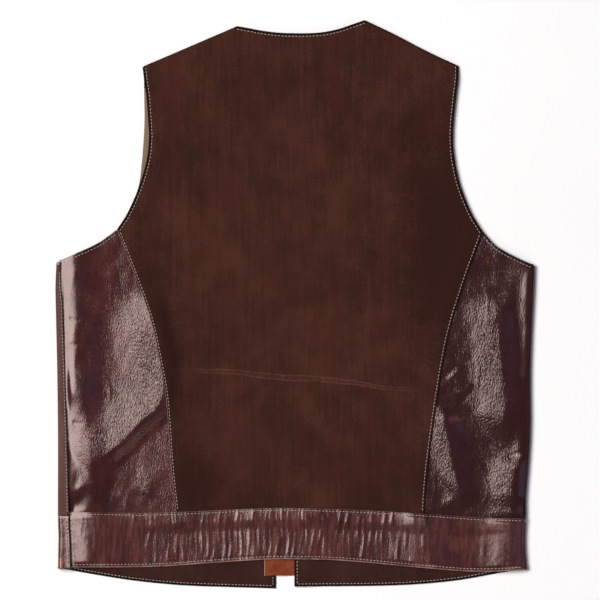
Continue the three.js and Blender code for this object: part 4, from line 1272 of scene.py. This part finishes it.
class VEST_OT_centre_back(bpy.types.Operator):
    """Cut the matte centre back, with its scar and its soft folds"""

    bl_idname = "vest.centre_back"
    bl_label = "Centre back"
    bl_options = {"REGISTER", "UNDO"}

    def execute(self, context):
        left = joined((SEAM_LEFT, CENTRE_ROWS[0]), (ARMHOLE_LEFT, CENTRE_ROWS[1]))
        right = joined((SEAM_RIGHT, CENTRE_ROWS[0]), (ARMHOLE_RIGHT, CENTRE_ROWS[1]))
        ends = SHOULDER_LEFT[0][0] + LAP_SLOPE_END, SHOULDER_RIGHT[-1][0] - LAP_SLOPE_END
        knots = [0, *((at - ends[0]) / (ends[1] - ends[0]) for at in (NECK[0][0], NECK[-1][0])), 1]
        shares = [
            mix(knots[k], knots[k + 1], (step + 1) / count)
            for k, count in enumerate(CENTRE_COLUMNS) for step in range(count)
        ][:-1]
        x, y = plan(left, right, CENTRE_EDGE, CENTRE_EDGE, shares, back_top_at, back_foot_at)
        edges = [smooth_line(line, EDGE_STEPS) for line in (ARMHOLE_LEFT, ARMHOLE_RIGHT, NECK)]
        seams = [smooth_line(line, EDGE_STEPS) for line in (SEAM_LEFT, SEAM_RIGHT)]
        sewn = [(line, EDGE_STITCH) for line in edges] + [(line, SEAM_STITCH) for line in seams]
        marks = edge_marks(x, y, edges, seams[:1], sewn)
        # Dark lines along the shoulders and the right seam: painted shade under the edges, wider towards the
        # right, away from the light; on the shoulders partly edge paint
        shoulder = nearest(shoulders, x, y)[0] + mix(1.6, 0.8, rise(x, -60, 60))
        right_edge = nearest(seams[1], x, y)[0] + 1.4
        marks["painted"] = np.minimum(marks["painted"], np.minimum(shoulder, right_edge))
        marks["scar"], marks["scar_strength"], marks["scar_spread"] = scar_place(x, y)
        finishes = ("roughout", "front_inside", "painted_edge")
        piece = make_sheet("centre_back", (x, y, centre_top(x, y)), marks, BACK, finishes)
        as_sheet(piece, "back_centre", *cut_of(x, y), ["front_left_panel", "front_right_panel"], "roughout")
        return {"FINISHED"}


def left_side_back(shares):
    """Places, marks and cut of the left side back."""
    low = back_foot_at(fold_left(BAND_TOP[0][1]))
    high = underarm_left_at(fold_left(OUTLINE_LEFT[-1][0]))
    x, y = plan(
        fold_rows(fold_left, low, high, shares), seam_rows(SEAM_LEFT, LAP, shares),
        [0, 5], [0, 4, LAP], even_shares(SIDE_COLUMNS[0]), underarm_left_at, back_foot_at,
    )
    arm = smooth_line(UNDERARM_LEFT, EDGE_STEPS)
    marks = edge_marks(x, y, [arm], (), [(arm, EDGE_STITCH)])
    from_fold = x - outline_left_at(y)
    loose = rise(from_fold, 14, 38) * mix(0.35, 1, rise(y + 0.9 * (x + 200), -205, -150))
    loose = loose * mix(1, 0.5, rise(y, -5, 25))
    marks["grain"] = mix(0.15, 0.9, loose) + 1.1 * flank_share(x, y, [BACK_CREASES[LEFT_CREST]])
    marks["deep"] = 0
    # A dark line beside the strip's edge: painted shade in the gap under the strip
    marks["painted"] = np.minimum(marks["painted"], abs(from_fold - strip_at(y)) + 0.3)
    from_crest, side, share = nearest(smooth_line(BACK_CREASES[LEFT_CREST][4], LINE_STEPS), x, y)
    beside_crest = np.exp(-(((from_crest - 9) / 11) ** 2)) * (side > 0)
    marks["pleats"] = beside_crest * rise(share, 0, 0.12) * (1 - rise(share, 0.5, 0.68))
    return (x, y, side_top(x, y, SIDE_CREASES_LEFT)), marks, *cut_of(x, y)


def right_side_back(shares):
    """Places, marks and cut of the right side back, which turns down round the fold."""
    low = back_foot_at(fold_right(BAND_TOP[-1][1]))
    high = underarm_right_at(fold_right(OUTLINE_RIGHT[-1][0]))
    end_at = lambda at: fold_right(at) - SIDE_TUCK * (1 - rise(at, *SIDE_TUCK_RANGE))
    x, y = plan(
        seam_rows(SEAM_RIGHT, -LAP, shares), fold_rows(end_at, low, high, shares),
        [0, 4, LAP], [0, 3, 6, 10, 14, 18], even_shares(SIDE_COLUMNS[1]), underarm_right_at, back_foot_at,
    )
    z = side_top(x, y, SIDE_CREASES_RIGHT)
    flat, area = cut_of(x, y)
    turn = SIDE_BACK_TURN * np.clip((z[:, -1] - FOLD_RADIUS) / ROLL_RADIUS, 0.1, 1)
    x, y, z = rolled(x, y, z, turn)
    arm = smooth_line(UNDERARM_RIGHT, EDGE_STEPS)
    marks = edge_marks(x, y, [arm], (), [(arm, EDGE_STITCH)])
    marks["grain"] = mix(0.12, 0.7, rise(outline_right_at(y) - x, 6, 20))
    marks["grain"] += 1.15 * flank_share(x, y, [BACK_CREASES[row] for row in RIGHT_CRESTS])
    # The whole right side back is painted darker: painted shade, as it lies farther from the key light
    marks["deep"] = 1
    marks["pleats"] = 0
    return (x, y, z), marks, flat, area


class VEST_OT_side_backs(bpy.types.Operator):
    """Cut the two glossy side backs, with the creases drawn from their seams"""

    bl_idname = "vest.side_backs"
    bl_label = "Side backs"
    bl_options = {"REGISTER", "UNDO"}

    def execute(self, context):
        shares = np.linspace(0, 1, SIDE_ROWS)
        finishes = ("pebbled_leather", "front_inside", "painted_edge")
        for name, node, under, layout in (
            ("side_back_left", "back_side_left", "front_left_panel", left_side_back),
            ("side_back_right", "back_side_right", "front_right_panel", right_side_back),
        ):
            places, marks, flat, area = layout(shares)
            piece = make_sheet(name, places, marks, SIDE, finishes)
            as_sheet(piece, node, flat, area, [under], "pebbled_leather")
        return {"FINISHED"}


class VEST_OT_back_waistband(bpy.types.Operator):
    """Cut the glossy back waistband, gathered into creases"""

    bl_idname = "vest.back_waistband"
    bl_label = "Back waistband"
    bl_options = {"REGISTER", "UNDO"}

    def execute(self, context):
        middle = (BAND_TOP[0][1] + BAND_BOTTOM[0][1]) / 2
        shares = np.linspace(0, 1, BAND_GRID[0])[None, :]
        near = mix(fold_left(middle), fold_right(middle), shares)
        down = np.linspace(1, 0, BAND_GRID[1])[:, None]
        y = band_top_at(near) - down * (band_top_at(near) - band_bottom_at(near))
        x = mix(fold_left(y), fold_right(y), shares)
        (wide, _), area = cut_of(x, y)
        x, y, z = rolled(x, y, band_top_face(x, y), np.full(len(x), SIDE_BACK_TURN))
        top, bottom = smooth_line(BAND_TOP, BAND_STEPS), smooth_line(BAND_BOTTOM, BAND_STEPS)
        marks = edge_marks(x, y, [top], [bottom], [(top, BAND_TOP_STITCH), (bottom, BAND_BOTTOM_STITCH)])
        # A dark line along the strip's edge: painted shade in the gap beside the strip
        marks["painted"] = np.minimum(FAR, abs(x - outline_left_at(y) - strip_at(y)) + 0.9)
        marks["grain"] = mix(0.3, 1, rise(x, -225, -130) * (1 - rise(x, 120, 200)))
        finishes = ("waistband_leather", "front_inside", "raw_edge")
        piece = make_sheet("back_waistband", (x, y, z), marks, BAND, finishes, rounding=0.35)
        under = ["centre_back", "side_back_left", "side_back_right"]
        as_sheet(piece, "back_band", (wide, BAND_CUT), area, under, "waistband_leather")
        return {"FINISHED"}


class VEST_OT_fronts(bpy.types.Operator):
    """Cut the two fronts, whose side edges come round the folds"""

    bl_idname = "vest.fronts"
    bl_label = "Fronts"
    bl_options = {"REGISTER", "UNDO"}

    def execute(self, context):
        low_rows, arm_rows = FRONT_ROWS
        shares = np.linspace(0, 1, low_rows + 1)
        for name, node, arm_points, neck_points, middle_at, left in (
            ("front_left_panel", "front_left", FRONT_ARMHOLE_LEFT, NECKLINE_LEFT, fold_left, True),
            ("front_right_panel", "front_right", FRONT_ARMHOLE_RIGHT, NECKLINE_RIGHT, fold_right, False),
        ):
            front_edge = np.array([(neck_points[0][0], FRONT_FOOT_CENTRE), neck_points[0]], float)
            low_side = fold_rows(middle_at, FRONT_FOOT_SIDE, arm_points[0][1], shares)
            side = np.concatenate([low_side, smooth_line(arm_points, arm_rows)[1:]])
            centre = joined((front_edge, low_rows), (neck_points, arm_rows))
            if left:
                x, y = plan(side, centre, FRONT_EDGE, FRONT_EDGE, even_shares(FRONT_COLUMNS[0]))
                fold = left_fold(y[:, 0], strip_wave(y[:, 0]))
                parts = [fold, (x, y, np.full(x.shape, FRONT))]
                around = float(strip_at(0)) + math.pi * FOLD_RADIUS
                around_area = STRIP_CUT + math.pi * FOLD_RADIUS
            else:
                near_centre = FRONT_EDGE + FRONT_CENTRE_EDGE
                x, y = plan(centre, side, near_centre, FRONT_EDGE, even_shares(FRONT_COLUMNS[1]))
                fold = right_fold(y[:, -1])
                parts = [(x, y, right_lift(x, y) + FRONT), fold]
                around = around_area = RIGHT_FRONT_TURN * FOLD_RADIUS
            (wide, high), area = cut_of(x, y)
            x, y, z = side_by_side(*parts)
            kept = np.ones(x.shape, bool)
            fold_columns = fold[0].shape[1]
            kept[low_rows + 1:, slice(fold_columns) if left else slice(-fold_columns, None)] = False
            edges = [smooth_line(arm_points, EDGE_STEPS), smooth_line(neck_points, LINE_STEPS), front_edge]
            marks = edge_marks(x, y, edges, (), [(line, EDGE_STITCH) for line in edges[1:]])
            mark_fold(marks, x, y, left, stitched=True)
            finishes = ("front_inside", "front_leather", "painted_edge")
            piece = make_sheet(name, (x, y, z), marks, FRONT, finishes, kept)
            area += (arm_points[0][1] - FRONT_FOOT_SIDE) * around_area * MM * MM
            as_sheet(piece, node, (wide + around, high), area, ["floor"], "front_leather")
        return {"FINISHED"}


class VEST_OT_front_waistbands(bpy.types.Operator):
    """Cut the fronts' own waistbands, down to the curved hem"""

    bl_idname = "vest.front_waistbands"
    bl_label = "Front waistbands"
    bl_options = {"REGISTER", "UNDO"}

    def execute(self, context):
        climb = np.array([0, 0.02, 0.045, 0.08, *np.linspace(0.13, 1, 17)])[:, None]
        across = np.unique(np.concatenate([np.linspace(0, 1, 84), [0.985, 0.994]]))
        for name, node, neck, middle_at, hem_at, hem, left in (
            (
                "front_waistband_left", "front_band_left", NECKLINE_LEFT, fold_left,
                hem_left_at, HEM_LEFT, True,
            ),
            (
                "front_waistband_right", "front_band_right", NECKLINE_RIGHT, fold_right,
                hem_right_at, HEM_RIGHT, False,
            ),
        ):
            centre = neck[0][0]
            side = float(middle_at(FRONT_FOOT_SIDE))
            at_side = mix(hem_at(side), FRONT_FOOT_SIDE - GAP, climb[:, 0])
            shares = across if left else across[::-1]
            x = mix(middle_at(at_side)[:, None], centre, shares[None, :])
            top = mix(FRONT_FOOT_SIDE, FRONT_FOOT_CENTRE, np.clip((x - side) / (centre - side), 0, 1)) - GAP
            y = mix(hem_at(x), top, climb)
            (wide, _), area = cut_of(x, y)
            if left:
                parts = [left_fold(at_side, 1.0), (x, y, np.full(x.shape, FRONT))]
                around = BAND_STRIP_CUT + math.pi * FOLD_RADIUS
            else:
                parts = [(x, y, FRONT + right_lift(x, y)), right_fold(at_side)]
                around = RIGHT_FRONT_TURN * FOLD_RADIUS
            x, y, z = side_by_side(*parts)
            hem_line = smooth_line(hem, BAND_STEPS)
            end = np.array([(centre, hem_line[-1 if left else 0][1]), (centre, FRONT_FOOT_CENTRE)], float)
            marks = edge_marks(x, y, [hem_line, end], (), [(hem_line, HEM_STITCH), (end, END_STITCH)])
            marks["grain"] = 0.2
            mark_fold(marks, x, y, left, stitched=False)
            finishes = ("front_inside", "waistband_leather", "painted_edge")
            piece = make_sheet(name, (x, y, z), marks, FRONT, finishes)
            area += BAND_FOLD_CUT * around * MM * MM
            as_sheet(piece, node, (wide + around, FRONT_BAND_CUT), area, ["floor"], "waistband_leather")
        return {"FINISHED"}


class VEST_OT_armhole_lining(bpy.types.Operator):
    """Cut the twill lining that shows at the left armhole"""

    bl_idname = "vest.armhole_lining"
    bl_label = "Armhole lining"
    bl_options = {"REGISTER", "UNDO"}

    def execute(self, context):
        front_at, back_at = (line_reader(line, 1, 0) for line in (FRONT_ARMHOLE_LEFT, ARMHOLE_LEFT))
        y = np.linspace(LINING_LOW, LINING_HIGH, LINING_GRID[1])[:, None]
        share = np.linspace(0, 1, LINING_GRID[0])[None, :]
        x = mix(front_at(y) + LINING_FROM_EDGE, back_at(y) + LINING_UNDER_BACK, share)
        y = y + 0 * x
        z = FRONT + GAP + LINING + 0.08 * np.sin(y / 9 + x / 4)
        marks = edge_marks(x, y, (), [smooth_line(FRONT_ARMHOLE_LEFT, EDGE_STEPS)])
        piece = make_sheet("lining_left", (x, y, z), marks, LINING, ("twill", "twill", "twill"), rounding=0.2)
        as_sheet(piece, "armhole_lining_left", LINING_CUT, cut_of(x, y)[1], ["front_left_panel"], "twill")
        return {"FINISHED"}


class VEST_OT_closing_tab(bpy.types.Operator):
    """Cut the suede tab that lies across the centre front"""

    bl_idname = "vest.closing_tab"
    bl_label = "Closing tab"
    bl_options = {"REGISTER", "UNDO"}

    def execute(self, context):
        x = np.linspace(TAB_LEFT, TAB_RIGHT, TAB_GRID[0])[None, :]
        lower = TAB_BOTTOM + (x - TAB_LEFT) * 0.02 + 0.3 * np.sin(x / 5)
        y = mix(lower, TAB_TOP, np.linspace(0, 1, TAB_GRID[1])[:, None])
        x = x + 0 * y
        under = (FRONT + GAP) * (1 - rise(x, *TAB_RAMP))
        z = under + TAB + 0.06 * np.sin(x / 3 + y / 7)
        marks = edge_marks(x, y, (), [np.array([(TAB_LEFT, TAB_BOTTOM), (TAB_LEFT, TAB_TOP)], float)])
        piece = make_sheet("tab_across_front", (x, y, z), marks, TAB, ("suede", "suede", "suede"))
        as_sheet(piece, "front_tab", TAB_CUT, cut_of(x, y)[1], ["front_waistband_left", "floor"], "suede")
        return {"FINISHED"}


def stitch_line(points, distance, ends=None, axis=0, steps=SEWN_STEPS):
    """A smooth line moved sideways, kept between two values of one coordinate if they are given."""
    line = beside(smooth_line(points, steps), distance)
    if ends is None:
        return line
    return line[(line[:, axis] >= ends[0]) & (line[:, axis] <= ends[1])]


def strip_line(low, high, steps, inside):
    """A line along the strip on the back, this far inside its free edge."""
    y = np.linspace(low, high, steps)
    return np.stack([outline_left_at(y) + strip_at(y) - inside, y], axis=1)


class VEST_OT_topstitching(bpy.types.Operator):
    """Sew the rows of stitches along edges and seams"""

    bl_idname = "vest.topstitching"
    bl_label = "Topstitching"
    bl_options = {"REGISTER", "UNDO"}

    def execute(self, context):
        left_side = lambda x, y: side_top(x, y, SIDE_CREASES_LEFT)
        right_side = lambda x, y: side_top(x, y, SIDE_CREASES_RIGHT)
        inside = lambda x, y: FRONT
        inside_right = lambda x, y: FRONT + right_lift(x, y)
        top, bottom = BAND_TOP_STITCH, BAND_BOTTOM_STITCH
        self.sew("stitches_", 0, (
            ("armhole_left", stitch_line(ARMHOLE_LEFT, -EDGE_STITCH), centre_top),
            ("armhole_right", stitch_line(ARMHOLE_RIGHT, EDGE_STITCH), centre_top),
            ("underarm_left", stitch_line(UNDERARM_LEFT, -EDGE_STITCH, (-256, -197)), left_side),
            ("underarm_right", stitch_line(UNDERARM_RIGHT, -EDGE_STITCH, (207, 260)), right_side),
            ("neck", stitch_line(NECK, -EDGE_STITCH), centre_top),
            ("seam_left", stitch_line(SEAM_LEFT, -SEAM_STITCH, (-226, 80), 1), centre_top),
            ("seam_right", stitch_line(SEAM_RIGHT, SEAM_STITCH, (-228, 77), 1), centre_top),
            ("band_top", stitch_line(BAND_TOP, -top, (-249.5, 249), steps=400), band_top_face),
            ("band_bottom", stitch_line(BAND_BOTTOM, bottom, (-247, 249), steps=400), band_top_face),
            ("strip", strip_line(-229, 36, 300, STRIP_STITCH), lambda x, y: STRIP_TOP),
            ("hem_left", stitch_line(HEM_LEFT, HEM_STITCH, (-252, -24.5), steps=300), inside),
            ("hem_right", stitch_line(HEM_RIGHT, HEM_STITCH, (2.4, 246), steps=300), inside_right),
            ("end_left", np.array([(-24.4, -309.6), (-24.4, -299.5)]), inside),
            ("end_right", np.array([(2.2, -307.6), (2.2, -256)]), inside_right),
        ))
        dark = strip_line(-285, -238, 60, END_STITCH)
        self.sew("stitches_", 30, [("band_end", dark, lambda x, y: BAND_STRIP_TOP)], "dark_thread")
        under = lambda x, y: 0.0
        self.sew("stitches_outside_", 50, (
            ("neckline_left", stitch_line(NECKLINE_LEFT, EDGE_STITCH, steps=120), under),
            ("neckline_right", stitch_line(NECKLINE_RIGHT, -EDGE_STITCH, steps=120), right_lift),
            ("armhole_left", stitch_line(FRONT_ARMHOLE_LEFT, -EDGE_STITCH, steps=160), under),
            ("armhole_right", stitch_line(FRONT_ARMHOLE_RIGHT, EDGE_STITCH, steps=160), under),
            ("edge_left", np.array([(-24.5, -309), (-24.5, 16)], float), under),
            ("edge_right", np.array([(2.5, -307), (2.5, 16)], float), right_lift),
            ("hem_left", stitch_line(HEM_LEFT, HEM_STITCH, (-254, -25), steps=200), under),
            ("hem_right", stitch_line(HEM_RIGHT, HEM_STITCH, (3, 250), steps=200), right_lift),
            ("band_left", np.array([(-255, -235.5), (-22, -255.3)], float), under),
            ("band_right", np.array([(250, -235.5), (0, -255.3)], float), right_lift),
        ), below=True)
        return {"FINISHED"}

    def sew(self, start, seed, rows, material="thread", below=False):
        """Sews rows of stitches, given as the end of the name, the line and the height of what is sewn."""
        sizes = bpy.context.scene.vest_sewing
        for k, (name, line, height_at) in enumerate(rows):
            seam(start + name, line, height_at, sizes, material, sizes.seed + seed + k, below)


class VEST_OT_thread_ends(bpy.types.Operator):
    """Tie off the rows: the white bar at the left underarm, dark knots and the loose ends at the right"""

    bl_idname = "vest.thread_ends"
    bl_label = "Thread ends"
    bl_options = {"REGISTER", "UNDO"}

    def execute(self, context):
        bar = [
            ((-261.2, 43.6 + 0.9 * k, 8.05), (1, 0.25 + 0.1 * k, 0), 5.2 - 0.4 * k, 0.8, 0.7)
            for k in range(4)
        ]
        bar.append(((-258.9, 47.8, 7.2), (0.7, 1, -0.25), 5.2, 0.9, 0.8))
        make_threads("bar_tack", bar, "thread")
        knots = []
        for x, y, turn in KNOTS:
            direction = (math.cos(math.radians(turn)), math.sin(math.radians(turn)), 0.1)
            knots.append(((x - 1.6, y, 8.8), direction, 3.0, 1.1, 0.9))
        make_threads("knots_band_end", knots, "dark_thread")
        make_threads("thread_ends_right", LOOSE_ENDS, "thread")
        make_threads("thread_ends_left", FRAYED_ENDS, "thread")
        return {"FINISHED"}


class VEST_OT_studio(bpy.types.Operator):
    """Set the pale floor, the soft lights and the camera straight above"""

    bl_idname = "vest.studio"
    bl_label = "Studio"
    bl_options = {"REGISTER", "UNDO"}

    def execute(self, context):
        scene = context.scene
        studio = scene.vest_studio
        shape = bmesh.new()
        level = Matrix.Translation((0, 0, -FLOOR_DROP))
        bmesh.ops.create_grid(shape, x_segments=8, y_segments=8, size=FLOOR_SIZE, matrix=level)
        as_object("floor", shape, ["studio_floor"])
        self.light("key_light", (-2.3, 0.98, 4.16), (3.6, 2.9), studio.key, (1.0, 0.95, 0.93))
        self.light("cool_light", (1.5, 0.0, 2.1), (1.8, 0.85), studio.cool, (0.25, 0.42, 1.0))
        self.light("low_light", (1.0, -2.2, 1.35), (2.4, 1.2), studio.low, (1.0, 0.99, 0.98))
        world = bpy.data.worlds.new("surround")
        world.use_nodes = True
        surround = world.node_tree.nodes["Background"].inputs
        surround["Color"].default_value = (1, 0.99, 0.985, 1)
        surround["Strength"].default_value = studio.surround
        scene.world = world
        scene.view_settings.view_transform = "Standard"
        lens = bpy.data.cameras.new("camera")
        lens.sensor_width = SENSOR
        lens.lens = SENSOR * studio.height / (VIEW_WIDTH * MM)
        lens.clip_end = VIEW_END
        camera = bpy.data.objects.new("camera", lens)
        camera.location = (VIEW_MIDDLE[0] * MM, VIEW_MIDDLE[1] * MM, studio.height + VIEW_LEVEL * MM)
        scene.collection.objects.link(camera)
        scene.camera = camera
        return {"FINISHED"}

    def light(self, name, place, size, power, tint):
        """A soft rectangular light that points at the vest."""
        lamp = bpy.data.lights.new(name, "AREA")
        lamp.shape = "RECTANGLE"
        lamp.size, lamp.size_y = size
        lamp.energy = power
        lamp.color = tint
        light = bpy.data.objects.new(name, lamp)
        light.location = place
        direction = Vector((0, 0, 0)) - light.location
        light.rotation_euler = direction.to_track_quat("-Z", "Y").to_euler()
        bpy.context.scene.collection.objects.link(light)


PIECES = (
    VEST_OT_fronts, VEST_OT_front_waistbands, VEST_OT_armhole_lining, VEST_OT_closing_tab,
    VEST_OT_side_backs, VEST_OT_centre_back, VEST_OT_back_waistband,
    VEST_OT_topstitching, VEST_OT_thread_ends, VEST_OT_studio,
)


class VEST_PT_pieces(bpy.types.Panel):
    """The vest's pieces in the order that they are made"""

    bl_label = "Leather vest"
    bl_space_type = "VIEW_3D"
    bl_region_type = "UI"
    bl_category = "Vest"

    def draw(self, context):
        for piece in PIECES:
            self.layout.operator(piece.bl_idname)
        for group in (context.scene.vest_sewing, context.scene.vest_studio, context.scene.vest_leather):
            box = self.layout.box()
            for name in group.__annotations__:
                box.prop(group, name)


CLASSES = (VestLeather, VestSewing, VestStudio, *PIECES, VEST_PT_pieces)


def register():
    for kind in CLASSES:
        bpy.utils.register_class(kind)
    bpy.types.Scene.vest_leather = PointerProperty(type=VestLeather)
    bpy.types.Scene.vest_sewing = PointerProperty(type=VestSewing)
    bpy.types.Scene.vest_studio = PointerProperty(type=VestStudio)


def unregister():
    del bpy.types.Scene.vest_studio
    del bpy.types.Scene.vest_sewing
    del bpy.types.Scene.vest_leather
    for kind in reversed(CLASSES):
        bpy.utils.unregister_class(kind)


def main():
    register()
    for piece in PIECES:
        group, name = piece.bl_idname.split(".")
        getattr(getattr(bpy.ops, group), name)()


if __name__ == "__main__":
    main()
